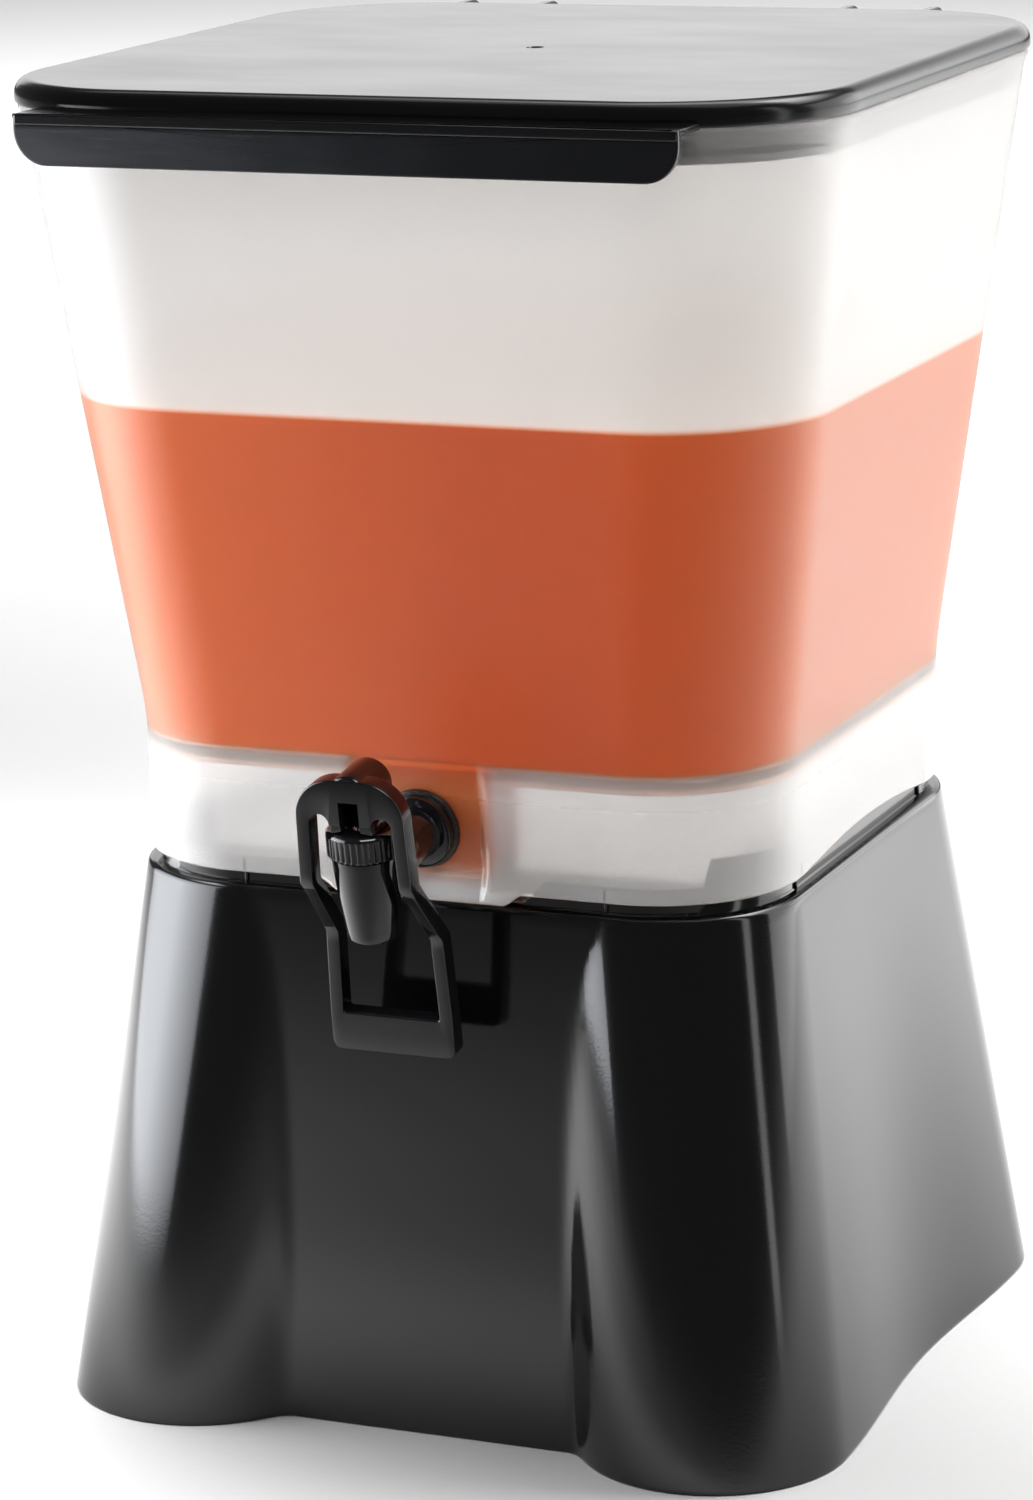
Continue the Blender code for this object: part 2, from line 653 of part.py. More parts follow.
def make_valve(parts, cutters, faucet, plastic_black, silicone, steel):
    """The stem, its silicone plug, the return spring, its thrust washer and the seal under the bonnet."""
    under_bonnet = BONNET_Z[1] - BONNET_TOP_T - GAP
    stem = mesh_object("valve_stem", rod(STEM_R, SEAT_Z + 6 * MM, STEM_TOP, sides=24), parts)
    stem.data.materials.append(plastic_black)
    place(stem, faucet)
    cross = rod(PIN_R + GAP, -2 * STEM_R, 2 * STEM_R, "X", 16)
    cross = mesh_object("stem_cross_hole", cross, cutters)
    boolean(stem, place(cross, faucet, (0, 0, PIN_Z)))
    flare_z = SEAT_Z + 9.5 * MM
    collar = mesh_object("stem_collar", rod(4.4 * MM, flare_z, flare_z + 1.6 * MM), cutters)
    boolean(stem, place(collar, faucet), "UNION")

    plug = [
        (PLUG_R - 1.6 * MM, SEAT_Z + 9.0 * MM),
        (PLUG_R, SEAT_Z + 5.0 * MM),
        (PLUG_R, SEAT_Z + GAP),
        (0, SEAT_Z + GAP),
        (0, SEAT_Z + 5.5 * MM),
        (STEM_R + GAP, SEAT_Z + 5.5 * MM),
        (STEM_R + GAP, SEAT_Z + 9.0 * MM),
    ]
    place(turned("valve_plug", plug, parts, silicone), faucet)

    washer_z = under_bonnet - 0.8 * MM
    thrust = [
        (CHAMBER_R - GAP, under_bonnet),
        (CHAMBER_R - GAP, washer_z),
        (STEM_R + GAP, washer_z),
        (STEM_R + GAP, under_bonnet),
    ]
    place(turned("thrust_washer", thrust, parts, steel, 24), faucet)
    seal_r = 0.65 * MM
    seal_z = washer_z - GAP - seal_r
    ring = arc((STEM_R + GAP + seal_r, seal_z), seal_r, 90, -225, 7)
    place(turned("stem_seal", ring, parts, silicone, 20), faucet)

    spring_low = flare_z + 1.6 * MM + GAP + SPRING_WIRE_R
    spring_high = washer_z - GAP - SPRING_WIRE_R
    curve = bpy.data.curves.new("return_spring", "CURVE")
    curve.dimensions = "3D"
    curve.bevel_depth = SPRING_WIRE_R
    curve.bevel_resolution = 2
    curve.use_fill_caps = True
    curve.materials.append(steel)
    turns = np.linspace(0, SPRING_TURNS, int(SPRING_TURNS * 12) + 1)
    spline = curve.splines.new("POLY")
    spline.points.add(len(turns) - 1)
    for point, turn in zip(spline.points, turns):
        angle = 2 * math.pi * turn
        rise = spring_low + (spring_high - spring_low) * turn / SPRING_TURNS
        point.co = (SPRING_R * math.cos(angle), SPRING_R * math.sin(angle), rise, 1)
    spring = bpy.data.objects.new("return_spring", curve)
    parts.objects.link(spring)
    place(spring, faucet)


def handle_front_outline():
    """The handle seen from the front: an arch over the bonnet, two arms and the loop that the cup pushes."""
    top = ARCH_TOP - PIN_Z
    right = arc((ARCH_HALF - ARCH_R, top - ARCH_R), ARCH_R, 90, 0, 8)
    right += [
        (ARCH_HALF + 0.7 * MM, BEND_Z[0] - PIN_Z),
        (LOOP_HALF - MM, BEND_Z[1] - PIN_Z),
    ]
    corner = 3 * MM
    low = LOOP_BOTTOM - PIN_Z
    right += arc((LOOP_HALF - corner, low + corner), corner, 0, -90, 3)
    outer = right + [(-x, z) for x, z in right[::-1]]

    notch = (ARCH_HALF - ARM_W - TONGUE_HALF) / 2
    tongue = TONGUE_Z - PIN_Z
    inner = arc((TONGUE_HALF + notch, tongue), notch, 180, 0, 6)
    inner += [
        (ARCH_HALF + 0.7 * MM - ARM_W, BEND_Z[0] - PIN_Z),
        (LOOP_HALF - MM - ARM_W, BEND_Z[1] - PIN_Z),
        (LOOP_HALF - ARM_W, low + LOOP_BAR),
    ]
    return outer, inner + [(-x, z) for x, z in inner[::-1]]


def handle_side_outline():
    """The handle seen from its side: upright, stepped back towards the tank, upright again."""
    front, back = HANDLE_FRONT, HANDLE_FRONT + HANDLE_DEPTH
    levels = [ARCH_TOP + MM, BEND_Z[0], BEND_Z[1], LOOP_BOTTOM - MM]
    steps = [0, 0, HANDLE_STEP, HANDLE_STEP]
    outline = [(front + step, z - PIN_Z) for step, z in zip(steps, levels)]
    outline += [(back + step, z - PIN_Z) for step, z in zip(steps[::-1], levels[::-1])]
    return outline


def make_handle(parts, cutters, faucet, plastic_black, steel):
    """The handle's origin is on its pin, about which it tilts."""
    pin_place = (0, 0, PIN_Z)
    depth = 60 * MM
    handle = extruded(
        "faucet_handle", handle_front_outline(), depth, parts, material=plastic_black
    )
    place(handle, faucet, pin_place)
    side = extruded("handle_side", [handle_side_outline()], depth, cutters, along="X")
    boolean(handle, place(side, faucet, pin_place), "INTERSECT")

    hub_centre = HUB_TOP - HUB_HALF - PIN_Z
    bottom = HUB_BOTTOM - PIN_Z
    hub_outline = [(-HUB_HALF, bottom), (HUB_HALF, bottom)]
    hub_outline += arc((0, hub_centre), HUB_HALF, 0, 180, 12)
    hub_length = HUB_BACK - HUB_FRONT
    hub = extruded("handle_hub", [hub_outline], hub_length, cutters)
    place(hub, faucet, (0, (HUB_BACK + HUB_FRONT) / 2, PIN_Z))
    boolean(handle, hub, "UNION")
    slot = box(
        (-SLOT_HALF, HANDLE_FRONT - CUT, bottom - CUT),
        (SLOT_HALF, SLOT_HALF + 1.2 * MM, SLOT_TOP - PIN_Z),
    )
    boolean(handle, place(mesh_object("handle_slot", slot, cutters), faucet, pin_place))
    cross = rod(PIN_R + GAP, -2 * HUB_HALF, 2 * HUB_HALF, "X", 16)
    cross = mesh_object("handle_cross_hole", cross, cutters)
    boolean(handle, place(cross, faucet, pin_place))

    end = HUB_HALF - 0.2 * MM
    pin = mesh_object("handle_pin", rod(PIN_R, -end, end, "X", 16), parts, steel)
    place(pin, faucet, pin_place)


def main():
    clear_scene()
    parts = new_collection("drink_dispenser")
    cutters = new_collection("cutters", helper=True)
    root = bpy.data.objects.new("dispenser", None)
    faucet = bpy.data.objects.new("faucet_frame", None)
    for empty in (root, faucet):
        parts.objects.link(empty)
    root.location = (0, CENTRE_Y, 0)
    place(faucet, root, (0, FAUCET_Y, FAUCET_Z), (TILT, 0, 0))

    black = plastic("black_polypropylene", (0.012, 0.013, 0.015), 0.3)
    lid_black = plastic("lid_polypropylene", (0.013, 0.013, 0.014), 0.18)
    clear = plastic("translucent_polypropylene", (0.9, 0.9, 0.88), 0.25, alpha=0.35)
    faucet_black = plastic("faucet_abs", (0.008, 0.009, 0.011), 0.22)
    rubber = plastic("black_rubber", (0.02, 0.02, 0.02), 0.7)
    silicone = plastic("white_silicone", (0.75, 0.75, 0.72), 0.5)
    steel = plastic("stainless_steel", (0.6, 0.6, 0.62), 0.25, metallic=1.0)

    make_stand(parts, cutters, root, black)
    make_tank(parts, cutters, root, faucet, clear)
    make_lid(parts, cutters, root, lid_black)
    make_hinge_pins(parts, root, steel)
    make_faucet_body(parts, cutters, faucet, faucet_black)
    make_shank_fittings(parts, cutters, faucet, rubber, faucet_black)
    make_bonnet(parts, faucet, faucet_black)
    make_valve(parts, cutters, faucet, faucet_black, silicone, steel)
    make_handle(parts, cutters, faucet, faucet_black, steel)
    bpy.context.view_layer.update()


main()
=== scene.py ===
"""Three-gallon drink dispenser: the visible surfaces, materials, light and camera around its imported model."""

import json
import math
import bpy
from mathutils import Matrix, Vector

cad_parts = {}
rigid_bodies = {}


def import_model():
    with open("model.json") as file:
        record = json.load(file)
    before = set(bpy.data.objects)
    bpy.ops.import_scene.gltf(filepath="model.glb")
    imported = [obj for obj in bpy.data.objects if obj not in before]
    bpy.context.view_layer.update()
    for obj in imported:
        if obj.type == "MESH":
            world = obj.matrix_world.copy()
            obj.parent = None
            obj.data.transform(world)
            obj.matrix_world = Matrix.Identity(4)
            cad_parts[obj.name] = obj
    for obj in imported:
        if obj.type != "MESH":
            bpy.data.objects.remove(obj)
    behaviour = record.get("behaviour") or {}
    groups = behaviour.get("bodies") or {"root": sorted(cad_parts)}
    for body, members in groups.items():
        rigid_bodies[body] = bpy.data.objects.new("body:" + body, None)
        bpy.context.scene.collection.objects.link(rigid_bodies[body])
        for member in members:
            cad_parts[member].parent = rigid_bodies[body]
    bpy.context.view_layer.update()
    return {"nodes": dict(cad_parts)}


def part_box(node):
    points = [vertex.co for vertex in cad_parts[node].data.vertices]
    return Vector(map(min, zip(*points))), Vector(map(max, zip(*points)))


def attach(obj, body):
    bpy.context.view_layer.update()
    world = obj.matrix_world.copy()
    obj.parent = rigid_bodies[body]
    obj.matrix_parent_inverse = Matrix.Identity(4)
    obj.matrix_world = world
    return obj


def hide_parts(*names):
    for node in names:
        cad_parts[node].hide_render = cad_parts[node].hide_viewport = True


bl_info = {
    "name": "Drink dispenser",
    "version": (1, 0, 0),
    "blender": (4, 5, 0),
    "location": "3D View > Sidebar > Dispenser",
    "description": "Builds the visible pieces of a countertop drink dispenser around its packed model",
    "category": "Add Mesh",
}

import bpy
import numpy as np
from bpy.props import FloatProperty, FloatVectorProperty, IntProperty, PointerProperty
from mathutils import Matrix, Vector

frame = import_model()
MM = 0.001
SHARP = math.radians(38)  # an edge stays crisp where its faces turn by more than this


def middle(node):
    """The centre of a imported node's box."""
    low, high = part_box(node)
    return (low + high) / 2


CENTRE_Y = middle("base_stand").y
LID_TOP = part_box("lid")[1].z
HINGE = middle("hinge_pin_left")
HANDLE_PIN = middle("handle_pin")


def length(name, description, default):
    """A size in metres for a property group, from a default in millimetres."""
    return FloatProperty(name=name, description=description, default=default * MM, min=0.0, unit="LENGTH")


def colour(name, description, code):
    """A colour for a property group, from its sRGB hex code."""
    return FloatVectorProperty(
        name=name, description=description, default=linear(code), size=3, min=0.0, max=1.0, subtype="COLOR"
    )


def linear(code):
    """Linear red, green and blue from an sRGB hex code."""
    srgb = np.array([int(code[i : i + 2], 16) for i in (0, 2, 4)]) / 255
    return tuple(np.where(srgb <= 0.04045, srgb / 12.92, ((srgb + 0.055) / 1.055) ** 2.4))


class StandSizes(bpy.types.PropertyGroup):
    """Sizes of the stand and its collar"""

    shoulder: length("Shoulder height", "Height of the ledge that the tank's skirt meets", 179.3)
    top: length("Top half-width", "From the middle to a side at the shoulder", 113.0)
    foot_x: length("Foot half-width", "From the middle to a side on the floor", 135.4)
    foot_y: length("Foot half-depth", "From the middle to the front of a foot on the floor", 139.0)
    corner: length("Buttress radius", "Radius of the round buttress at each corner", 44.5)
    panel_top: length("Panel at the top", "From the middle to the front panel at the shoulder", 112.6)
    panel_foot: length("Panel at the foot", "From the middle to the front panel on the floor", 117.7)
    bow: length("Side bow", "How far a side bows in on the floor", 5.2)
    wall: length("Wall", "Wall thickness", 3.0)
    collar: length("Collar half-width", "From the middle to the outside of the collar", 108.7)
    collar_wall: length("Collar wall", "Thickness of the collar", 2.6)
    collar_low: length("Collar height", "Height of the collar's low edge", 188.4)
    collar_tall: length("Collar corner height", "Height of the collar at its corners", 197.0)


class TankSizes(bpy.types.PropertyGroup):
    """Sizes of the tank and the drink's level in it"""

    waist: length("Waist height", "Height at which the walls start to flare", 228.0)
    waist_half: length("Waist half-width", "From the middle to a wall at the waist", 112.0)
    waist_corner: length("Waist corner radius", "Radius of the upright corners at the waist", 45.0)
    rim: length("Rim height", "Height of the rim", 430.0)
    rim_half: length("Rim half-width", "From the middle to a wall at the rim", 139.0)
    rim_corner: length("Rim corner radius", "Radius of the upright corners at the rim", 57.0)
    wall: length("Wall", "Wall thickness", 2.6)
    floor: length("Floor height", "Height of the inside floor", 223.0)
    skirt: length("Skirt height", "Height of the skirt's bottom edge", 183.5)
    arch: length("Skirt arch", "How far the skirt's edge rises at the sides", 4.5)
    tab: length("Front tab", "How far the tab reaches below the skirt's edge", 3.9)
    level: length("Drink level", "Height of the drink's surface", 336.5)


class LidSizes(bpy.types.PropertyGroup):
    """Sizes of the lid, its finger lip and its hinge"""

    half_x: length("Half-width", "From the middle to a side", 140.0)
    half_y: length("Half-depth", "From the middle to the front", 141.0)
    corner: length("Corner radius", "Radius of the lid's corners", 58.0)
    edge: length("Edge radius", "Radius of the rounded top edge", 5.0)
    plug: length("Plug half-width", "From the middle to the outside of the plug", 135.4)
    plug_drop: length("Plug drop", "How far the plug reaches below the top", 19.0)
    lip_half: length("Lip half-width", "Half of the finger lip's length", 109.0)
    lip_reach: length("Lip reach", "From the middle to the face of the lip", 157.0)
    lip_drop: length("Lip drop", "Height of the lip's plate", 15.9)
    lug_in: length("Inner lugs", "From the middle to an inner hinge lug", 56.5)
    lug_out: length("Outer lugs", "From the middle to an outer hinge lug", 87.2)


class FaucetSizes(bpy.types.PropertyGroup):
    """Sizes of the faucet and its push handle"""

    nozzle_low: length("Mouth radius", "Outside radius at the nozzle's mouth", 8.0)
    nozzle_top: length("Shoulder radius", "Outside radius under the bonnet", 11.0)
    shank: length("Shank radius", "Radius of the shank through the wall", 8.0)
    reach: length("Shank reach", "From the nozzle's axis to the wall", 42.5)
    bonnet: length("Bonnet radius", "Radius of the bonnet over its flutes", 12.2)
    flutes: IntProperty(name="Flutes", description="Grip flutes round the bonnet", default=36, min=6)
    arch: length("Arch half-width", "Half-width of the handle over the bonnet", 18.2)
    loop: length("Loop half-width", "Half-width of the loop that the cup pushes", 21.0)
    depth: length("Handle depth", "Thickness of the handle from front to back", 7.0)
    arm: length("Arm width", "Width of each arm seen from the front", 4.3)


class Finishes(bpy.types.PropertyGroup):
    """Colours of the plastics, the drink, the metal and the floor"""

    stand: colour("Stand", "Black moulded polypropylene", "070708")
    lid: colour("Lid", "Black polished polypropylene", "0e0e10")
    scuff: colour("Scuffs", "Where the lip has been rubbed by hands", "5a6270")
    tank: colour("Tank", "Natural polypropylene", "fbf9f7")
    wet: colour("Wet wall", "The tank's wall where the drink wets it", "e8965c")
    drink: colour("Drink", "Iced tea with orange", "c45210")
    # Painted light: the drink's top surface is painted this pale colour so that it looks as bright as the lit wall
    # above it.
    top_painted_light: colour("Froth", "The pale froth on the drink's surface", "fbeee6")
    # Painted light: the drink is painted this paler colour towards the right side and the left corner, where light
    # shows through it.
    drink_painted_light: colour("Drink at the edges", "The drink where little of it lies behind the wall", "e8b070")
    faucet: colour("Faucet", "Black moulded ABS", "0a0a0c")
    rubber: colour("Rubber", "Black washer rubber", "161514")
    silicone: colour("Silicone", "Milky silicone", "d9d4cb")
    steel: colour("Steel", "Stainless wire and pins", "c3c2bf")
    floor: colour("Floor", "Pale studio floor", "f4f4f4")


# ---- surfaces ------------------------------------------------------------------------------------------------


def columns(side, corner, front):
    """How each column of a square outline is reached, once round from +X.

    A point is (half - radius) * flat + radius * turn, in x and in y. A quarter runs along the side by the shares
    in side, round the corner by the angles in corner, and along the front by the shares in front.
    """
    side, corner, front = map(np.asarray, (side, np.radians(corner), front))
    flat_x = np.concatenate([np.ones(len(side) + len(corner)), front])
    flat_y = np.concatenate([side, np.ones(len(corner) + len(front))])
    angle = np.concatenate([np.zeros(len(side)), corner, np.full(len(front), np.pi / 2)])
    quarter = np.stack([flat_x, flat_y, np.cos(angle), np.sin(angle)])
    left = quarter[:, ::-1] * np.array([-1, 1, -1, 1])[:, None]
    below = -quarter
    right = left * -1
    return np.concatenate([q[:, :-1] for q in (quarter, left, below, right)], axis=1)


def rounded(cols, half_x, half_y, radius, z, centre=(0.0, 0.0)):
    """Rings of a rounded square. Sizes are one number or one for each ring."""
    half_x, half_y, radius, z = np.broadcast_arrays(*np.atleast_1d(half_x, half_y, radius, z))
    half_x, half_y, radius, z = (a[:, None].astype(float) for a in (half_x, half_y, radius, z))
    x = (half_x - radius) * cols[0] + radius * cols[2] + centre[0]
    y = (half_y - radius) * cols[1] + radius * cols[3] + centre[1]
    return np.stack([x, y, np.broadcast_to(z, x.shape)], axis=-1)


def skin(rings, wrap=False):
    """Points, quads and triangles of a closed surface through rings, facing outwards.

    Columns close on themselves. Rings do too with wrap, and otherwise each end ring is drawn to a pole. The sum of
    a . (b x c) over the triangles is six times the enclosed volume, so faces are turned round where it is negative.
    """
    rows, cols = rings.shape[:2]
    points = rings.reshape(-1, 3)
    i = np.arange(rows if wrap else rows - 1)[:, None]
    j = np.arange(cols)[None, :]
    k, up = (j + 1) % cols, (i + 1) % rows
    quads = np.stack([i * cols + j, i * cols + k, up * cols + k, up * cols + j], -1).reshape(-1, 4)
    tris = np.zeros((0, 3), int)
    if not wrap:
        poles = np.stack([rings[0].mean(0), rings[-1].mean(0)])
        points = np.concatenate([points, poles])
        j, k = j[0], k[0]
        last = (rows - 1) * cols
        first = np.stack([k, j, np.full(cols, rows * cols)], -1)
        tris = np.concatenate([first, np.stack([last + j, last + k, np.full(cols, rows * cols + 1)], -1)])
    fans = np.concatenate([quads[:, [0, 1, 2]], quads[:, [0, 2, 3]], tris])
    a, b, c = (points[fans[:, n]] for n in range(3))
    if (a * np.cross(b, c)).sum() < 0:
        quads, tris = quads[:, ::-1], tris[:, ::-1]
    return points, quads, tris


def sweep(profile, steps):
    """Rings of a (radius, height) profile turned about Z. Its radius may be one for each step."""
    radius, height = profile
    angle = np.linspace(0, 2 * np.pi, steps, endpoint=False)
    radius = np.broadcast_to(np.reshape(radius, (len(height), -1)), (len(height), steps))
    x, y = radius * np.cos(angle), radius * np.sin(angle)
    return np.stack([x, y, np.broadcast_to(np.reshape(height, (-1, 1)), x.shape)], -1)


def plate(outline, thickness, edge, along):
    """Rings of a flat plate with rounded edges. The outline's points are the two other axes, in order.

    Each ring is the outline moved in by edge * (1 - sin a) at edge * (1 - cos a) from a face.
    """
    outline = np.asarray(outline, float)
    ahead = np.roll(outline, -1, 0) - np.roll(outline, 1, 0)
    normal = np.stack([ahead[:, 1], -ahead[:, 0]], -1)
    normal /= np.linalg.norm(normal, axis=1, keepdims=True)
    area = (outline[:, 0] * np.roll(outline[:, 1], -1) - np.roll(outline[:, 0], -1) * outline[:, 1]).sum()
    normal *= np.sign(area)
    turn = np.radians([0, 22.5, 45, 67.5, 90])
    on_face = [edge * 1.6]
    inset = edge * (1 - np.sin(turn))
    depth = edge * (1 - np.cos(turn)) - thickness / 2
    inset = np.concatenate([on_face, inset, inset[::-1], on_face])
    depth = np.concatenate([[-thickness / 2], depth, -depth[::-1], [thickness / 2]])
    flat = outline[None] - inset[:, None, None] * normal[None]
    level = np.broadcast_to(depth[:, None], flat.shape[:2])
    order = {"X": (level, flat[..., 0], flat[..., 1]), "Y": (flat[..., 0], level, flat[..., 1])}
    return np.stack(order[along], -1)


def block(low, high, edge):
    """Rings of a box with rounded edges, from its lowest to its highest corner.

    Each ring is the box's outline moved in by edge * (1 - sin a) at edge * (1 - cos a) from its end.
    """
    low, high = np.asarray(low, float), np.asarray(high, float)
    half, centre = (high - low) / 2, (high + low) / 2
    cols = columns([0, 1], [0, 30, 60, 90], [1, 0])
    turn = np.radians([0, 30, 60, 90])
    inset = edge * (1 - np.sin(turn))
    rise = edge * (1 - np.cos(turn))
    on_end = [edge * 2]
    inset = np.concatenate([on_end, inset, inset[::-1], on_end])
    z = np.concatenate([[low[2]], low[2] + rise, (high[2] - rise)[::-1], [high[2]]])
    radius = np.maximum(edge * 1.2 - inset, edge * 0.05)
    return rounded(cols, half[0] - inset, half[1] - inset, radius, z, centre)


def centred(skins):
    """Skins made about the tank's own axis, moved to where it stands."""
    return [(moved(points, y=CENTRE_Y), quads, tris) for points, quads, tris in skins]


def new_mesh(name, skins):
    """One mesh from skins, each of them points, quads and triangles."""
    points, faces, start = [], [], 0
    for verts, quads, tris in skins:
        points.append(verts)
        faces += (quads + start).tolist() + (tris + start).tolist()
        start += len(verts)
    mesh = bpy.data.meshes.new(name)
    mesh.from_pydata(np.concatenate(points).tolist(), [], faces)
    return mesh


def piece(name, skins, material, body, nodes=()):
    """One object from its closed skins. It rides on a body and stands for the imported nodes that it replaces."""
    mesh = new_mesh(name, skins)
    mesh.shade_smooth()
    mesh.set_sharp_from_angle(angle=SHARP)
    obj = bpy.data.objects.new(name, mesh)
    bpy.context.scene.collection.objects.link(obj)
    mesh.materials.append(material)
    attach(obj, body)
    if nodes:
        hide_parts(*nodes)
    return obj


def carve(obj, tool_skin, operation):
    """Joins a closed skin to a piece, or cuts it out, and keeps the result as the piece's mesh."""
    tool = bpy.data.objects.new("tool", new_mesh("tool", [tool_skin]))
    bpy.context.scene.collection.objects.link(tool)
    modifier = obj.modifiers.new("carve", "BOOLEAN")
    modifier.operation, modifier.solver, modifier.object = operation, "EXACT", tool
    graph = bpy.context.evaluated_depsgraph_get()
    result = bpy.data.meshes.new_from_object(obj.evaluated_get(graph))
    obj.modifiers.remove(modifier)
    bpy.data.objects.remove(tool, do_unlink=True)
    obj.data = result
    result.shade_smooth()
    result.set_sharp_from_angle(angle=SHARP)


def on_faucet(points):
    """Points of the faucet frame in the whole object's frame.

    Its origin lies below the handle's pin on the nozzle's axis. It is turned by the tank's flare about X.
    """
    pin_rise = 25.4 * MM
    turn = math.atan(flare())
    sin, cos = math.sin(turn), math.cos(turn)
    origin_y, origin_z = HANDLE_PIN.y + pin_rise * sin, HANDLE_PIN.z - pin_rise * cos
    x, s, n = np.moveaxis(np.asarray(points), -1, 0)
    return np.stack([x, origin_y + s * cos - n * sin, origin_z + s * sin + n * cos], -1)


def flare():
    """How far a tank wall moves out for each metre of height above the waist."""
    tank = bpy.context.scene.dispenser_tank
    return (tank.rim_half - tank.waist_half) / (tank.rim - tank.waist)


def moved(rings, x=0.0, y=0.0):
    """Points moved sideways or along the tank."""
    return rings + np.array([x, y, 0.0])


# ---- materials -----------------------------------------------------------------------------------------------


def fill(tree, made, inputs):
    """Gives a node's sockets their values, or links them to another node's output. A tuple is in socket order."""
    for name, value in dict(enumerate(inputs) if isinstance(inputs, tuple) else inputs).items():
        if isinstance(value, bpy.types.NodeSocket):
            tree.links.new(value, made.inputs[name])
        else:
            made.inputs[name].default_value = value


def node(tree, kind, inputs=(), output=0, **settings):
    """Adds a node with its settings and links, and gives one of its outputs."""
    made = tree.nodes.new("ShaderNode" + kind)
    for name, value in settings.items():
        setattr(made, name, value)
    fill(tree, made, inputs)
    return made.outputs[output]


def new_material(name):
    """A material, its nodes, its one shader, and its object coordinates."""
    made = bpy.data.materials.new(name)
    made.use_nodes = True
    tree = made.node_tree
    return made, tree, tree.nodes["Principled BSDF"], node(tree, "TexCoord", output="Object")


def rgba(tint, gain=1.0):
    """A colour, made brighter or darker, with its fourth number."""
    return (*(min(1.0, c * gain) for c in tint), 1.0)


def grained(name, tint, pale, size, stretch, roughness, relief, sockets):
    """A finish whose grains are about size across, in metres, and longer where stretch is above one.

    The colour goes from tint to pale and the roughness between two limits, grain by grain, over a low relief.
    """
    made, tree, shader, coords = new_material(name)
    scaled = node(tree, "Mapping", {"Vector": coords, "Scale": tuple(1 / s for s in stretch)})
    grain = node(tree, "TexNoise", {"Vector": scaled, "Scale": 1 / size, "Detail": 3.0})
    share = node(tree, "MapRange", (grain, 0.3, 0.7, 0.0, 1.0))
    sockets = dict(sockets)
    sockets["Base Color"] = node(tree, "Mix", {0: share, 6: rgba(tint), 7: rgba(pale)}, 2, data_type="RGBA")
    sockets["Roughness"] = node(tree, "MapRange", (grain, 0.3, 0.7, *roughness))
    if relief:
        sockets["Normal"] = node(tree, "Bump", {"Height": grain, "Distance": relief, "Strength": 0.4})
    fill(tree, shader, sockets)
    return made


def stand_polypropylene():
    """Black filled polypropylene from a fine-stoned mould: a gloss a little stronger than the plain plastic has, with
    slow waves where walls shrank and a few specks of dust."""
    tint = bpy.context.scene.dispenser_finishes.stand
    made, tree, shader, coords = new_material("moulded_polypropylene_black")
    grain = node(tree, "TexNoise", {"Vector": coords, "Scale": 1 / (1.1 * MM), "Detail": 3.0})
    cloud = node(tree, "TexNoise", {"Vector": coords, "Scale": 1 / (60 * MM), "Detail": 2.0})
    dust = node(tree, "TexNoise", {"Vector": coords, "Scale": 1 / (0.9 * MM), "Detail": 1.0})
    speck = node(tree, "MapRange", (dust, 0.66, 0.74, 0.0, 0.35))
    dusty = (*(c * 5 + 0.006 for c in tint), 1.0)
    wave = node(tree, "Math", (grain, 0.12, cloud), operation="MULTIPLY_ADD")
    sockets = {
        "IOR": 1.59,
        "Base Color": node(tree, "Mix", {0: speck, 6: rgba(tint), 7: dusty}, 2, data_type="RGBA"),
        "Roughness": node(tree, "MapRange", (cloud, 0.3, 0.7, 0.09, 0.125)),
        "Normal": node(tree, "Bump", {"Height": wave, "Distance": 0.25 * MM, "Strength": 0.3}),
    }
    fill(tree, shader, sockets)
    return made


def lid_polypropylene():
    """Black polypropylene from a polished mould: smooth and glossy, with faint wipe marks."""
    tint = bpy.context.scene.dispenser_finishes.lid
    pale = [c * 1.8 for c in tint]
    name = "polished_polypropylene_black"
    return grained(name, tint, pale, 42 * MM, (2, 1, 1), (0.19, 0.23), 0, {"IOR": 1.49})


def lip_polypropylene():
    """The lid's plastic where hands lift it: rubbed paler, with short scratches along it, most at one end."""
    finishes = bpy.context.scene.dispenser_finishes
    made, tree, shader, coords = new_material("scuffed_polypropylene_black")
    across = node(tree, "SeparateXYZ", (coords,), "X")
    height = node(tree, "SeparateXYZ", (coords,), "Z")
    rubbed = node(tree, "MapRange", (across, -100 * MM, 75 * MM, 0.8, 0.1))
    below = node(tree, "MapRange", (height, LID_TOP - 10.4 * MM, LID_TOP - 9.0 * MM, 1.0, 0.0))
    patches = node(tree, "Mapping", {"Vector": coords, "Scale": (0.3, 1, 1)})
    patch = node(tree, "TexNoise", {"Vector": patches, "Scale": 1 / (9 * MM), "Detail": 3.0})
    patch = node(tree, "MapRange", (patch, 0.3, 0.7, 0.55, 1.0))
    lines = node(tree, "Mapping", {"Vector": coords, "Scale": (0.1, 1, 1)})
    lines = node(tree, "TexNoise", {"Vector": lines, "Scale": 1 / (0.8 * MM), "Detail": 2.0})
    scratch = node(tree, "MapRange", (lines, 0.60, 0.70, 0.0, 0.5))
    marks = node(tree, "Math", (patch, scratch), operation="ADD", use_clamp=True)
    worn = node(tree, "Math", (marks, rubbed), operation="MULTIPLY")
    share = node(tree, "Math", (worn, below), operation="MULTIPLY")
    pale = rgba(finishes.scuff, 0.13)
    sockets = {
        "IOR": 1.49,
        "Base Color": node(tree, "Mix", {0: share, 6: rgba(finishes.lid), 7: pale}, 2, data_type="RGBA"),
        "Roughness": node(tree, "MapRange", (share, 0.0, 1.0, 0.16, 0.4)),
        "Normal": node(tree, "Bump", {"Height": scratch, "Distance": 0.05 * MM, "Strength": 0.4}),
    }
    fill(tree, shader, sockets)
    return made


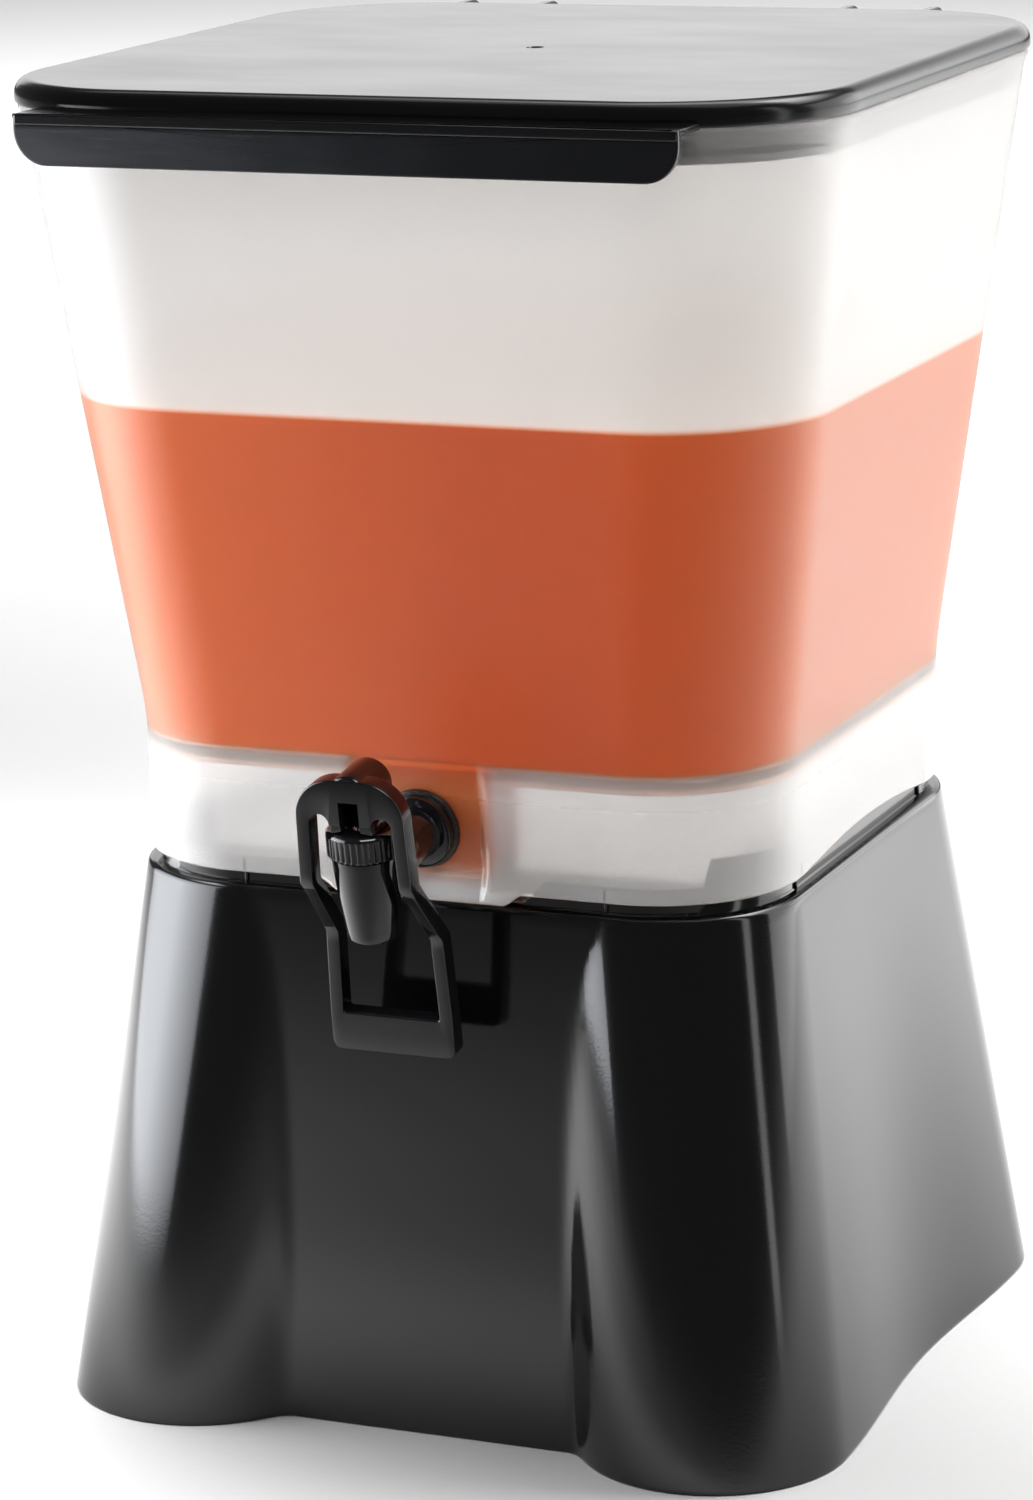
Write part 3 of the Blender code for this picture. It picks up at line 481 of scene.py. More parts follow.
def tank_polypropylene():
    """Natural polypropylene: milky, so light goes through it and spreads. Where the drink wets the wall, round the
    tank and in the pocket behind the faucet, the milkiness goes and the wall takes the drink's tint. The skirt has
    the smoother inside of the two, so it blurs less."""
    finishes = bpy.context.scene.dispenser_finishes
    tank = bpy.context.scene.dispenser_tank
    made, tree, shader, coords = new_material("natural_polypropylene")
    x, y, z = (node(tree, "SeparateXYZ", (coords,), axis) for axis in "XYZ")
    above = node(tree, "MapRange", (z, tank.floor + 0.2 * MM, tank.floor + 2.4 * MM, 0.0, 1.0))
    under = node(tree, "MapRange", (z, tank.level - 0.8 * MM, tank.level + 0.8 * MM, 1.0, 0.0))
    round_tank = node(tree, "Math", (above, under), operation="MULTIPLY")
    sideways = node(tree, "Math", (x,), operation="ABSOLUTE")
    narrow = node(tree, "MapRange", (sideways, 20 * MM, 27 * MM, 1.0, 0.0))
    front = node(tree, "MapRange", (y, CENTRE_Y - 66 * MM, CENTRE_Y - 60 * MM, 1.0, 0.0))
    deep = node(tree, "MapRange", (z, 184 * MM, 192 * MM, 0.0, 1.0))
    pocket = node(tree, "Math", (narrow, front), operation="MULTIPLY")
    pocket = node(tree, "Math", (pocket, deep), operation="MULTIPLY")
    pocket = node(tree, "Math", (pocket, under), operation="MULTIPLY")
    wet = node(tree, "Math", (round_tank, pocket), operation="MAXIMUM")
    cloud = node(tree, "TexNoise", {"Vector": coords, "Scale": 1 / (70 * MM), "Detail": 2.0})
    milk = rgba(finishes.tank)
    milk = node(tree, "Mix", {0: cloud, 6: milk, 7: rgba(finishes.tank, 0.97)}, 2, data_type="RGBA")
    sockets = {
        "IOR": 1.49,
        "Transmission Weight": node(tree, "MapRange", (z, tank.floor - 8 * MM, tank.floor, 0.74, 0.87)),
        "Roughness": node(tree, "MapRange", (z, tank.floor - 12 * MM, tank.floor, 0.26, 0.32)),
        "Base Color": node(tree, "Mix", {0: wet, 6: milk, 7: rgba(finishes.wet)}, 2, data_type="RGBA"),
    }
    fill(tree, shader, sockets)
    return made


def iced_tea():
    """Cloudy iced tea with orange. Its glow is painted: it emits its own colour, standing in for the light that
    scatters in it. Its colour is painted paler towards the light at the right and where only a little of it lies
    behind the left corner, and its top is painted pale so that it looks like the lit wall above it."""
    finishes = bpy.context.scene.dispenser_finishes
    level = bpy.context.scene.dispenser_tank.level
    made, tree, shader, coords = new_material("cloudy_iced_tea")
    x, z = (node(tree, "SeparateXYZ", (coords,), axis) for axis in "XZ")
    # Painted light: the drink's colour goes paler towards +X, where the lamps are, and towards -X at the corner, where
    # light comes through less drink.
    right = node(tree, "MapRange", (x, 62 * MM, 122 * MM, 0.0, 0.7))
    left = node(tree, "MapRange", (x, 20 * MM, -122 * MM, 0.0, 1.0))
    edge = node(tree, "Math", (left, right), operation="ADD")
    haze = node(tree, "TexNoise", {"Vector": coords, "Scale": 1 / (35 * MM), "Detail": 2.0})
    share = node(tree, "Math", (haze, 0.2, edge), operation="MULTIPLY_ADD", use_clamp=True)
    tea = node(tree, "Mix", {0: share, 6: rgba(finishes.drink), 7: rgba(finishes.drink_painted_light)}, 2, data_type="RGBA")
    # Painted light: the top 1.5 mm of the drink is painted pale, standing in for the lit wall above the level.
    surface = node(tree, "MapRange", (z, level - 1.5 * MM, level - 0.2 * MM, 0.0, 1.0))
    tea = node(tree, "Mix", {0: surface, 6: tea, 7: rgba(finishes.top_painted_light)}, 2, data_type="RGBA")
    # Painted glow: the drink emits its own painted colour at strength 0.45, though it is no lamp.
    sockets = {"IOR": 1.33, "Roughness": 0.25, "Specular IOR Level": 0.1, "Emission Strength": 0.45}
    sockets.update({"Base Color": tea, "Emission Color": tea})
    fill(tree, shader, sockets)
    return made


def faucet_abs():
    """Black ABS from a polished mould: a deep gloss with sharp highlights and a trace of flow lines."""
    tint = bpy.context.scene.dispenser_finishes.faucet
    pale = [c * 1.7 for c in tint]
    return grained("moulded_abs_black", tint, pale, 3 * MM, (1, 1, 4), (0.06, 0.10), 0.02 * MM, {"IOR": 1.54})


def washer_rubber():
    """Black EPDM rubber, moulded: a soft gloss with a bloom of fine grey specks."""
    tint = bpy.context.scene.dispenser_finishes.rubber
    pale = [c * 2.2 for c in tint]
    return grained("moulded_rubber_black", tint, pale, 0.8 * MM, (1, 1, 1), (0.24, 0.36), 0.04 * MM, {"IOR": 1.5})


def moulded_silicone():
    """Milky silicone rubber, compression moulded: soft light inside and a slightly tacky sheen."""
    tint = bpy.context.scene.dispenser_finishes.silicone
    pale = [c * 0.85 for c in tint]
    soft = {"IOR": 1.41, "Subsurface Weight": 0.3, "Subsurface Scale": 0.002}
    return grained("moulded_silicone_milky", tint, pale, 2 * MM, (1, 1, 1), (0.32, 0.45), 0.02 * MM, soft)


def drawn_steel():
    """Stainless steel wire and pins, drawn through a die: fine lines along the length."""
    tint = bpy.context.scene.dispenser_finishes.steel
    pale = [c * 0.82 for c in tint]
    name = "drawn_stainless_steel"
    return grained(name, tint, pale, 0.3 * MM, (20, 1, 1), (0.2, 0.34), 0.02 * MM, {"Metallic": 1.0})


def floor_paper():
    """Matt white paper, the studio's sweep, with a trace of fibre."""
    tint = bpy.context.scene.dispenser_finishes.floor
    pale = [c * 0.985 for c in tint]
    return grained("sweep_paper_white", tint, pale, 3 * MM, (1, 1, 1), (0.8, 0.9), 0, {"Specular IOR Level": 0.1})


# ---- pieces --------------------------------------------------------------------------------------------------


def stand_rings(cols, sizes, height, inset):
    """Rings of the stand's wall at some heights, moved in by inset.

    Each side's reach falls in a straight line from foot to shoulder. A corner is a circle, the panel between two
    corners is flat, and the two meet in a smooth maximum: max(a, b) + h^3 k / 6, h = max(k - |a - b|, 0) / k. The
    sides bow in by bow * (1 - t) * cos^2 of a quarter turn along each half.
    """
    height, inset = np.broadcast_arrays(np.atleast_1d(height).astype(float), inset)
    t = (height / sizes.shoulder)[:, None]
    inset = inset[:, None]
    centre_x = sizes.foot_x + (sizes.top - sizes.foot_x) * t - sizes.corner
    reach_y = sizes.foot_y + (sizes.top - sizes.foot_y) * t
    centre_y = reach_y - sizes.corner
    radius = sizes.corner - inset
    panel = sizes.panel_foot + (sizes.panel_top - sizes.panel_foot) * t - inset
    flat_x, flat_y, turn_x, turn_y = cols
    x = centre_x * flat_x + radius * turn_x
    bow = sizes.bow * (1 - t) * np.cos(np.pi / 2 * np.abs(flat_y)) ** 2
    x = x - np.where(np.abs(turn_x) == 1, bow * np.sign(turn_x), 0)
    y = centre_y * flat_y + radius * turn_y
    away = np.minimum(centre_x - np.abs(x), radius)
    circle = centre_y + np.sqrt(np.maximum(radius**2 - away**2, 0))
    blend = 0.5 * (reach_y - inset - panel)
    h = np.maximum(blend - np.abs(circle - panel), 0) / blend
    front = np.maximum(circle, panel) + h**3 * blend / 6
    y = np.where(np.abs(turn_y) > 0.9999, front * np.sign(turn_y), y)
    return np.stack([x, y, np.broadcast_to(height[:, None], x.shape)], -1)


def collar_edge(rings, sizes):
    """Height of the collar's top at each point: tall corners, low sides and a notch in front for the tank's tab."""
    x, y = np.abs(rings[..., 0]), rings[..., 1]
    nearest = np.minimum(x, np.abs(y))
    ramp, notch_end, in_front = (63.1 * MM, 68.8 * MM), (34 * MM, 42 * MM), y < -sizes.collar + 10 * MM
    top = np.interp(nearest, ramp, (sizes.collar_low, sizes.collar_tall))
    notch = np.interp(x, notch_end, (sizes.shoulder + MM, sizes.collar_low))
    return np.where(in_front, np.minimum(top, notch), top)


def stand_shell(sizes):
    """One closed skin: the deck's underside, the inner wall down, the foot's rim, the outer wall up, the shoulder,
    the collar over its top edge, and the deck. Two short ribs stand on each side of the collar."""
    side = np.concatenate([np.linspace(0, 0.9, 13), [0.925, 0.945, 0.96, 0.98]])
    corner = np.linspace(0, 90, 25)
    valley = 1 - 0.5 * (1 - np.cos(np.linspace(0, np.pi, 60)))
    front = np.unique(np.concatenate([valley, np.linspace(0.5, 0.65, 12), np.linspace(0, 1, 30)]))[::-1]
    cols = columns(side, corner, front[1:])
    deck, foot_r, edge_r = sizes.shoulder - sizes.wall, 0.6 * MM, 1.8 * MM
    parts = [stand_rings(cols, sizes, [deck, deck, deck, deck - 2 * MM], sizes.wall + np.array([60, 30, 2, 0]) * MM)]
    heights = np.linspace(deck - 6 * MM, 3 * MM, 14)
    parts.append(stand_rings(cols, sizes, heights, sizes.wall))
    turn = np.radians(np.linspace(0, 180, 9))
    rim = (sizes.wall / 2) * (1 + np.cos(turn))
    parts.append(stand_rings(cols, sizes, foot_r * (1 - np.sin(turn)) ** 0.7, rim))
    up = np.concatenate([[1.5 * MM], np.linspace(6 * MM, sizes.shoulder - edge_r - 3 * MM, 30)])
    parts.append(stand_rings(cols, sizes, up, 0.0))
    turn = np.radians(np.linspace(0, 90, 7))
    parts.append(stand_rings(cols, sizes, sizes.shoulder - edge_r * (1 - np.sin(turn)), edge_r * (1 - np.cos(turn))))
    half, radius = sizes.collar, 42 * MM
    inset = np.array([-0.5, 0, 0, 0, 0.25, 0.7]) * MM
    inset = np.concatenate([inset, sizes.collar_wall - inset[::-1]])
    share = np.array([0, 0.06, 0.5, 0.94, 0.99, 1.0])
    share = np.concatenate([share, share[::-1]])
    collar = rounded(cols, half - inset, half - inset, radius - inset, sizes.shoulder)
    top = collar_edge(collar[3:4], sizes)
    collar[..., 2] += share[:, None] * (top - sizes.shoulder)
    parts.append(collar)
    inner = half - sizes.collar_wall
    drop = np.array([2, 30, 70]) * MM
    parts.append(rounded(cols, inner - drop, inner - drop, np.maximum(radius - drop, 10 * MM), sizes.shoulder))
    skins = [skin(np.concatenate(parts))]
    rib_half, rib_deep, rib_low, rib_high = 0.6 * MM, 0.7 * MM, sizes.shoulder - MM, sizes.collar_low - 0.6 * MM
    for x, y in ((62.5, -1), (-62.5, -1), (62.5, 1), (-62.5, 1)):
        along, face = x * MM, y * (half + 0.2 * MM)
        low, high = (along - rib_half, face - rib_deep), (along + rib_half, face + rib_deep)
        for near, far in ((low, high), (low[::-1], high[::-1])):
            skins.append(skin(block((*near, rib_low), (*far, rib_high), 0.4 * MM)))
    return skins


def tank_half(sizes, z):
    """Half-width of the tank's outside: straight below the waist, flared above, with a soft bend between.

    It grows by flare * (d + sqrt(d^2 + bend^2)) / 2, where d is the height above the waist.
    """
    above, bend = z - sizes.waist, 5 * MM
    return sizes.waist_half + flare() * (above + np.sqrt(above**2 + bend**2)) / 2


def tank_rings(cols, sizes, inset, z, edge=0.0):
    """Rings of the tank at some heights. Edge is how much of the skirt's edge shape a ring takes, from 0 to 1.

    The skirt's edge rises at the sides by arch * cos of a quarter turn, and reaches down in front by the tab.
    Behind the faucet the wall below the waist keeps the slope of the wall above, over a window with soft ends.
    """
    inset, z, edge = np.broadcast_arrays(*np.atleast_1d(inset, z, edge))
    share = np.clip((z - sizes.waist) / (sizes.rim - sizes.waist), 0, 1)
    radius = sizes.waist_corner + (sizes.rim_corner - sizes.waist_corner) * share
    half = tank_half(sizes, z) - inset
    rings = rounded(cols, half, half, np.maximum(radius - inset, 4 * MM), z)
    x, y = np.abs(rings[..., 0]), rings[..., 1]
    front = y < -half[:, None] + 4 * MM
    arch_end, tab_end = 62 * MM, (29 * MM, 34 * MM)
    arch = sizes.arch * np.cos(np.pi / 2 * np.clip(np.abs(y) / arch_end, 0, 1))
    lift = np.where(x > half[:, None] - 2 * MM, arch, 0)
    tab = -np.interp(x, tab_end, (sizes.tab, 0))
    rings[..., 2] += edge[:, None] * np.where(front, tab, lift)
    window_half, window_soft, window_low, low_soft = 24 * MM, 4.5 * MM, 185 * MM, 3.6 * MM
    window = smooth((window_half - x) / window_soft)
    low = smooth((z - window_low) / low_soft)[:, None]
    depth = np.maximum(sizes.waist - z, 0)[:, None] * flare() * low
    on_wall = inset[:, None] < 8 * MM
    rings[..., 1] += np.where(front & on_wall, window * depth, 0)
    return rings


def smooth(share):
    """A soft step from 0 to 1: 3 t^2 - 2 t^3 of the share, clamped."""
    share = np.clip(share, 0, 1)
    return share * share * (3 - 2 * share)


def tank_columns():
    """The tank's columns, closest together where the tab and the pocket end."""
    side = np.linspace(0, 1, 20)[:-1]
    corner = np.linspace(0, 90, 29)
    front = np.unique(np.concatenate([np.linspace(0, 1, 34), np.linspace(0.26, 0.38, 10)]))[::-1]
    return columns(side, corner, front[1:])


def tank_shell(sizes):
    """One closed skin: the floor's underside, down inside the skirt, round its edge, up the outside, over the rim's
    bead, down the inside and across the floor."""
    cols = tank_columns()
    wall, skirt, fillet, bead, bead_out = sizes.wall, sizes.skirt, 3.5 * MM, 1.4 * MM, 0.8 * MM
    under = sizes.floor - wall
    rows = [(wall + 70 * MM, under, 0), (wall + 8 * MM, under, 0), (wall + 1.5 * MM, under - 0.3 * MM, 0)]
    rows += [(wall, under - 1.6 * MM, 0)]
    rows += [(wall, z, 0) for z in np.linspace(under - 5 * MM, skirt + 8 * MM, 7)]
    rows += [(wall, skirt + 3 * MM, 0.5), (wall, skirt + 0.7 * MM, 0.9), (wall - 0.5 * MM, skirt + 0.1 * MM, 1)]
    rows += [(wall / 2, skirt, 1), (0.5 * MM, skirt + 0.1 * MM, 1), (0, skirt + 0.7 * MM, 0.9)]
    rows += [(0, skirt + 3 * MM, 0.5), (0, skirt + 6 * MM, 0.1)]
    rows += [(0, z, 0) for z in np.linspace(skirt + 9 * MM, sizes.waist - 10 * MM, 8)]
    rows += [(0, z, 0) for z in sizes.waist + np.linspace(-8, 12, 14) * MM]
    top = sizes.rim - 4.2 * MM
    rows += [(0, z, 0) for z in np.linspace(sizes.waist + 18 * MM, top, 20)]
    turn = np.radians(np.linspace(-60, 90, 8))
    rows += [(0.1 * MM - bead_out * np.cos(a), sizes.rim - bead + bead * np.sin(a), 0) for a in turn]
    rows += [(wall - 0.6 * MM, sizes.rim - 0.1 * MM, 0), (wall, sizes.rim - 0.8 * MM, 0)]
    rows += [(wall, z, 0) for z in np.linspace(sizes.rim - 4 * MM, sizes.floor + 12 * MM, 22)]
    turn = np.radians(np.linspace(0, 90, 8))
    rows += [(wall + fillet * (1 - np.cos(a)), sizes.floor + fillet * (1 - np.sin(a)), 0) for a in turn]
    rows += [(wall + 12 * MM, sizes.floor, 0), (wall + 70 * MM, sizes.floor, 0)]
    inset, z, edge = np.array(rows).T
    return [skin(tank_rings(cols, sizes, inset, z, edge))]


def sump_rings(sizes, z, grow):
    """Rings of the low pocket behind the faucet, grown by grow. It widens like a bell within 10 mm of the floor.

    The bell is a quarter circle, 9 mm * (1 - sqrt(1 - t^2)), where t rises from 0 to 1 over those 10 mm.
    """
    cols = columns([0, 0.5, 1], np.linspace(0, 90, 9), [1, 0.5, 0])
    z, grow = np.broadcast_arrays(np.atleast_1d(z).astype(float), grow)
    bell_high, bell_wide = 10 * MM, 9 * MM
    rise = np.clip((z - (sizes.floor - bell_high)) / bell_high, 0, 0.98)
    bell = bell_wide * (1 - np.sqrt(1 - rise**2))
    half_x = 20.8 * MM + bell + grow
    wall = tank_half(sizes, z) - np.maximum(sizes.waist - z, 0) * flare() - sizes.wall - 0.7 * MM + grow
    back = sizes.waist_half - 38 * MM - bell - grow
    half_y = (wall - back) / 2
    rings = rounded(cols, half_x, half_y, 6 * MM + bell * 0.4, z)
    rings[..., 1] -= ((wall + back) / 2)[:, None]
    return rings


def sump_cup(sizes):
    """The pocket's wall: a cup hung under the floor, rounded at its bottom."""
    low, high = 184.2 * MM, sizes.floor - 0.6 * MM
    heights = np.concatenate([[low, low, low + 0.8 * MM, low + 2.5 * MM], np.linspace(low + 5 * MM, high, 16)])
    grow = np.full(len(heights), 2.2 * MM)
    grow[:4] = np.array([-5, -0.8, 1.2, 2.1]) * MM
    outer = sump_rings(sizes, heights, grow)
    down = np.concatenate([np.linspace(high, low + 7 * MM, 16), [low + 4 * MM, low + 3 * MM, low + 2.6 * MM]])
    grow = np.full(len(down), 0.3 * MM)
    grow[-3:] = np.array([-0.3, -1.6, -6]) * MM
    return [skin(np.concatenate([outer, sump_rings(sizes, down, grow)]))]


def hinge_knuckle(side, lid):
    """A knuckle between two lugs: a barrel about the pin with a web down to the tank's back wall."""
    pin_y, pin_z = HINGE.y, HINGE.z
    gap, radius = 2.1 * MM, 4.8 * MM
    low, high = lid.lug_in + gap, lid.lug_out - gap
    angle = np.radians(np.linspace(-50, 130, 15))
    barrel = np.stack([pin_y + radius * np.cos(angle), pin_z + radius * np.sin(angle)], -1)
    wall = CENTRE_Y + 139 * MM
    web = [(wall - 3.4 * MM, pin_z - 21 * MM), (pin_y - 3.4 * MM, pin_z - 8 * MM)]
    top = [(pin_y - 6 * MM, pin_z - 2.6 * MM), (wall - 1.4 * MM, pin_z - 2.6 * MM)]
    outline = np.concatenate([web, barrel, top])
    return [skin(moved(plate(outline, high - low, 0.5 * MM, "X"), side * (low + high) / 2))]


def drink_skins(sizes):
    """The drink: a block just inside the tank's walls, a little higher where it meets them, and the sump's fill."""
    cols = tank_columns()
    gap, fillet, bottom = sizes.wall + 0.7 * MM, 3 * MM, sizes.floor + 0.5 * MM
    rows = [(gap + 70 * MM, 0), (gap + 8 * MM, 0), (gap + 3 * MM, 0.15 * MM), (gap + 1 * MM, 0.6 * MM)]
    rows += [(gap, 1.2 * MM)]
    rows = [(inset, sizes.level + rise) for inset, rise in rows]
    rows += [(gap, z) for z in np.linspace(sizes.level - 2 * MM, sizes.floor + 12 * MM, 16)]
    turn = np.radians(np.linspace(0, 90, 7))
    rows += [(gap + fillet * (1 - np.cos(a)), bottom + fillet * (1 - np.sin(a))) for a in turn]
    rows += [(gap + 70 * MM, bottom)]
    inset, z = np.array(rows).T
    low = 187.4 * MM
    heights = np.concatenate([[low, low, low + 1.2 * MM, low + 4 * MM], np.linspace(low + 7 * MM, sizes.floor, 14)])
    heights = np.concatenate([heights, [sizes.floor + 3 * MM, sizes.floor + 3 * MM]])
    grow = np.concatenate([[-8 * MM, -2.5 * MM, -0.5 * MM], np.zeros(len(heights) - 4), [-8 * MM]])
    return [skin(tank_rings(cols, sizes, inset, z)), skin(sump_rings(sizes, heights, grow))]


def lid_shell(sizes, tank):
    """One closed skin with a hole through it: from the vent across the top, round the edge, down to the rim, down
    and up round the plug, and back under the top to the vent."""
    side = np.linspace(0, 1, 10)[:-1]
    cols = columns(side, np.linspace(0, 90, 33), np.linspace(1, 0, 10)[1:])
    vent, top, rim, thick = 2.6 * MM, LID_TOP, tank.rim + 0.3 * MM, 2.5 * MM
    rows = [(vent, vent, vent, top - thick + 0.2 * MM), (vent, vent, vent, top - 0.4 * MM)]
    rows += [(vent + 0.4 * MM,) * 3 + (top,)]
    reach_x, reach_y, edge = sizes.half_x, sizes.half_y, sizes.edge
    for share in (0.03, 0.1, 0.4, 0.8):
        rows.append((reach_x * share, reach_y * share, sizes.corner * share, top))
    for a in np.radians([90, 88, 80, 70, 60, 50, 40, 30, 20, 10, 2, 0]):
        inset = edge * (1 - math.cos(a))
        rows.append((reach_x - inset, reach_y - inset, sizes.corner - inset, top - edge * (1 - math.sin(a))))
    for inset, rise in ((0, 1.2), (0.08, 0.5), (0.3, 0.15), (0.7, 0), (1.4, 0)):
        inset *= MM
        rows.append((reach_x - inset, reach_y - inset, sizes.corner - inset, rim + rise * MM))
    plug_r = tank.rim_corner - (tank.rim_half - sizes.plug)
    bottom = top - sizes.plug_drop
    for inset, z in ((0, rim), (0, rim - MM), (0, bottom + 5 * MM), (0.2 * MM, bottom + 3 * MM)):
        rows.append((sizes.plug - inset, sizes.plug - inset, plug_r - inset, z))
    for inset, rise in ((1.3, 0.4), (1.8, 0.0), (3.4, 0.0), (4.0, 0.5), (4.1, 4), (2.6, 7)):
        inset *= MM
        rows.append((sizes.plug - inset, sizes.plug - inset, plug_r - inset, bottom + rise * MM))
    for inset, z in ((2.6 * MM, top - 5 * MM), (3.2 * MM, top - thick - 0.5 * MM), (5 * MM, top - thick)):
        rows.append((sizes.plug - inset, sizes.plug - inset, plug_r - inset, z))
    for share in (0.5, 0.06):
        rows.append((sizes.plug * share, sizes.plug * share, plug_r * share, top - thick))
    half_x, half_y, radius, z = np.array(rows).T
    rings = rounded(cols, half_x, half_y, radius, z)
    return [skin(moved(rings, y=CENTRE_Y), wrap=True)]


def lid_lip(sizes):
    """The finger lip: a flange out from the rim, a plate down from it with two round corners, and a rolled top."""
    top = LID_TOP - 5.6 * MM
    low, front = top - sizes.lip_drop, CENTRE_Y - sizes.lip_reach
    half, radius, thick = sizes.lip_half, 11 * MM, 2.5 * MM
    flange = block((-half, front + MM, top - 2.1 * MM), (half, front + 19 * MM, top), 0.5 * MM)
    angle = np.radians(np.linspace(180, 270, 13))
    corner = np.stack([radius - half + radius * np.cos(angle), low + radius + radius * np.sin(angle)], -1)
    upper = np.array([(half, top), (-half, top)])
    upright = np.linspace(0, 1, 7)[1:-1, None]
    side = upper[1] + (corner[0] - upper[1]) * upright
    along = np.linspace(0, 1, 14)[1:-1, None]
    mirror = np.array([-1, 1])
    base = corner[-1] + (corner[-1] * mirror - corner[-1]) * along
    across = upper[0] + (upper[1] - upper[0]) * along
    left = [upper[1:], side, corner]
    right = [corner[::-1] * mirror, side[::-1] * mirror, upper[:1]]
    outline = np.concatenate([*left, base, *right, across])
    grip = moved(plate(outline, thick, 0.6 * MM, "Y"), y=front + thick / 2)
    roll_half = half - 0.2 * MM
    low, high = (-roll_half, front - 0.7 * MM, top - 3.4 * MM), (roll_half, front + 1.6 * MM, top + 0.1 * MM)
    roll = block(low, high, 0.9 * MM)
    return [skin(flange), skin(grip), skin(roll)]


def hinge_lugs(sizes):
    """Four upright lugs with round ends that hold the pins, rooted in the lid's back edge."""
    root, radius = CENTRE_Y + sizes.half_y - 4 * MM, 6.5 * MM
    angle = np.radians(np.linspace(-150, 90, 22))
    round_end = np.stack([HINGE.y + radius * np.cos(angle), HINGE.z + radius * np.sin(angle)], -1)
    rear = [(root, HINGE.z + 6.3 * MM), (root, HINGE.z - 0.2 * MM)]
    outline = np.concatenate([round_end, rear])
    rings = plate(outline, 3.3 * MM, 0.5 * MM, "X")
    places = (-sizes.lug_out, -sizes.lug_in, sizes.lug_in, sizes.lug_out)
    return [skin(moved(rings, x=x)) for x in places]


def along_shank(rings):
    """Turns rings made about Z so that they are made about the shank."""
    return np.stack([rings[..., 0], rings[..., 2], rings[..., 1]], -1)


def faucet_skins(sizes):
    """The nozzle: a tapered barrel with a rolled mouth, its bore and its neck; and the shank with its flange."""
    low, high, neck = -19.5 * MM, 8.7 * MM, 14.8 * MM
    z = np.linspace(low + 0.9 * MM, high - 0.9 * MM, 14)
    share = (z - low) / (high - low)
    barrel = sizes.nozzle_low + (sizes.nozzle_top - sizes.nozzle_low) * share + 0.35 * MM * np.sin(np.pi * share)
    profile = [(7 * MM, neck), (8.4 * MM, neck), (9 * MM, neck - 0.5 * MM), (9 * MM, high + 0.2 * MM)]
    profile += [(sizes.nozzle_top - 0.7 * MM, high), (sizes.nozzle_top - 0.1 * MM, high - 0.4 * MM)]
    profile += list(zip(barrel[::-1], z[::-1]))
    mouth = sizes.nozzle_low
    profile += [(mouth, low + 0.5 * MM), (mouth - 0.25 * MM, low + 0.1 * MM), (mouth - 0.6 * MM, low)]
    profile += [(mouth - 1.2 * MM, low), (mouth - 1.5 * MM, low + 0.3 * MM), (mouth - 1.7 * MM, low + 3 * MM)]
    profile += [(4.6 * MM, -11 * MM), (4.5 * MM, -8 * MM), (7 * MM, -8 * MM), (7 * MM, 0)]
    radius, height = np.array(profile).T
    nozzle = sweep((radius, height), 96)
    wall = sizes.reach - 2.6 * MM
    shank = [(4.6, 8), (7.6, 8), (8, 8.4), (8, 30)]
    shank = [(r * MM, s * MM) for r, s in shank]
    shank += [(sizes.shank, wall - 4.2 * MM), (sizes.shank + 0.5 * MM, wall - 3.2 * MM)]
    shank += [(11.2 * MM, wall - 3 * MM), (11.9 * MM, wall - 2.6 * MM), (12 * MM, wall - 2 * MM), (12 * MM, wall)]
    shank += [(sizes.shank, wall), (sizes.shank, 61.6 * MM), (7.6 * MM, 62 * MM), (4.6 * MM, 62 * MM)]
    radius, height = np.array(shank).T
    shank = along_shank(sweep((radius, height), 72))
    return [skin(on_faucet(nozzle), wrap=True), skin(on_faucet(shank), wrap=True)]


def bezel_skins(sizes):
    """The washer under the flange, seen as a dark disc with rounded rims."""
    start, end, outer = sizes.reach - 2.3 * MM, sizes.reach - 0.3 * MM, 13.25 * MM
    profile = [(8.3 * MM, start), (outer - 0.9 * MM, start), (outer - 0.25 * MM, start + 0.25 * MM)]
    profile += [(outer, start + 0.9 * MM), (outer, end - 0.3 * MM), (outer - 0.3 * MM, end), (8.3 * MM, end)]
    radius, height = np.array(profile).T
    return [skin(on_faucet(along_shank(sweep((radius, height), 72))), wrap=True)]


def bonnet_skins(sizes):
    """The screw cap over the spring: its radius less 0.4 mm times a flute, cos^8 of half the flutes times the angle."""
    low, high, bore, groove = 9 * MM, 18 * MM, 3.0 * MM, 0.4 * MM
    steps = sizes.flutes * 8
    angle = np.linspace(0, 2 * np.pi, steps, endpoint=False)
    flute = np.cos(angle * sizes.flutes / 2) ** 8
    outer = sizes.bonnet
    rows = [(bore, high - 2.4 * MM, 0), (bore, high - 0.2 * MM, 0), (bore + 0.3 * MM, high, 0)]
    rows += [(outer - 1.9 * MM, high, 0), (outer - 1.3 * MM, high - 0.12 * MM, 0)]
    rows += [(outer - 0.5 * MM, high - 0.7 * MM, 0), (outer - 0.12 * MM, high - 1.3 * MM, 0)]
    rows += [(outer, high - 1.8 * MM, 0.0), (outer, high - 2.3 * MM, 1.0)]
    rows += [(outer, low + 1.2 * MM, 1.0), (outer, low + 0.5 * MM, 0.6), (outer - 0.4 * MM, low, 0)]
    rows += [(9.3 * MM, low, 0), (9.3 * MM, high - 2.4 * MM, 0)]
    radius, height, depth = np.array(rows).T
    radius = radius[:, None] - groove * depth[:, None] * flute
    return [skin(on_faucet(sweep((radius, height), steps)), wrap=True)]


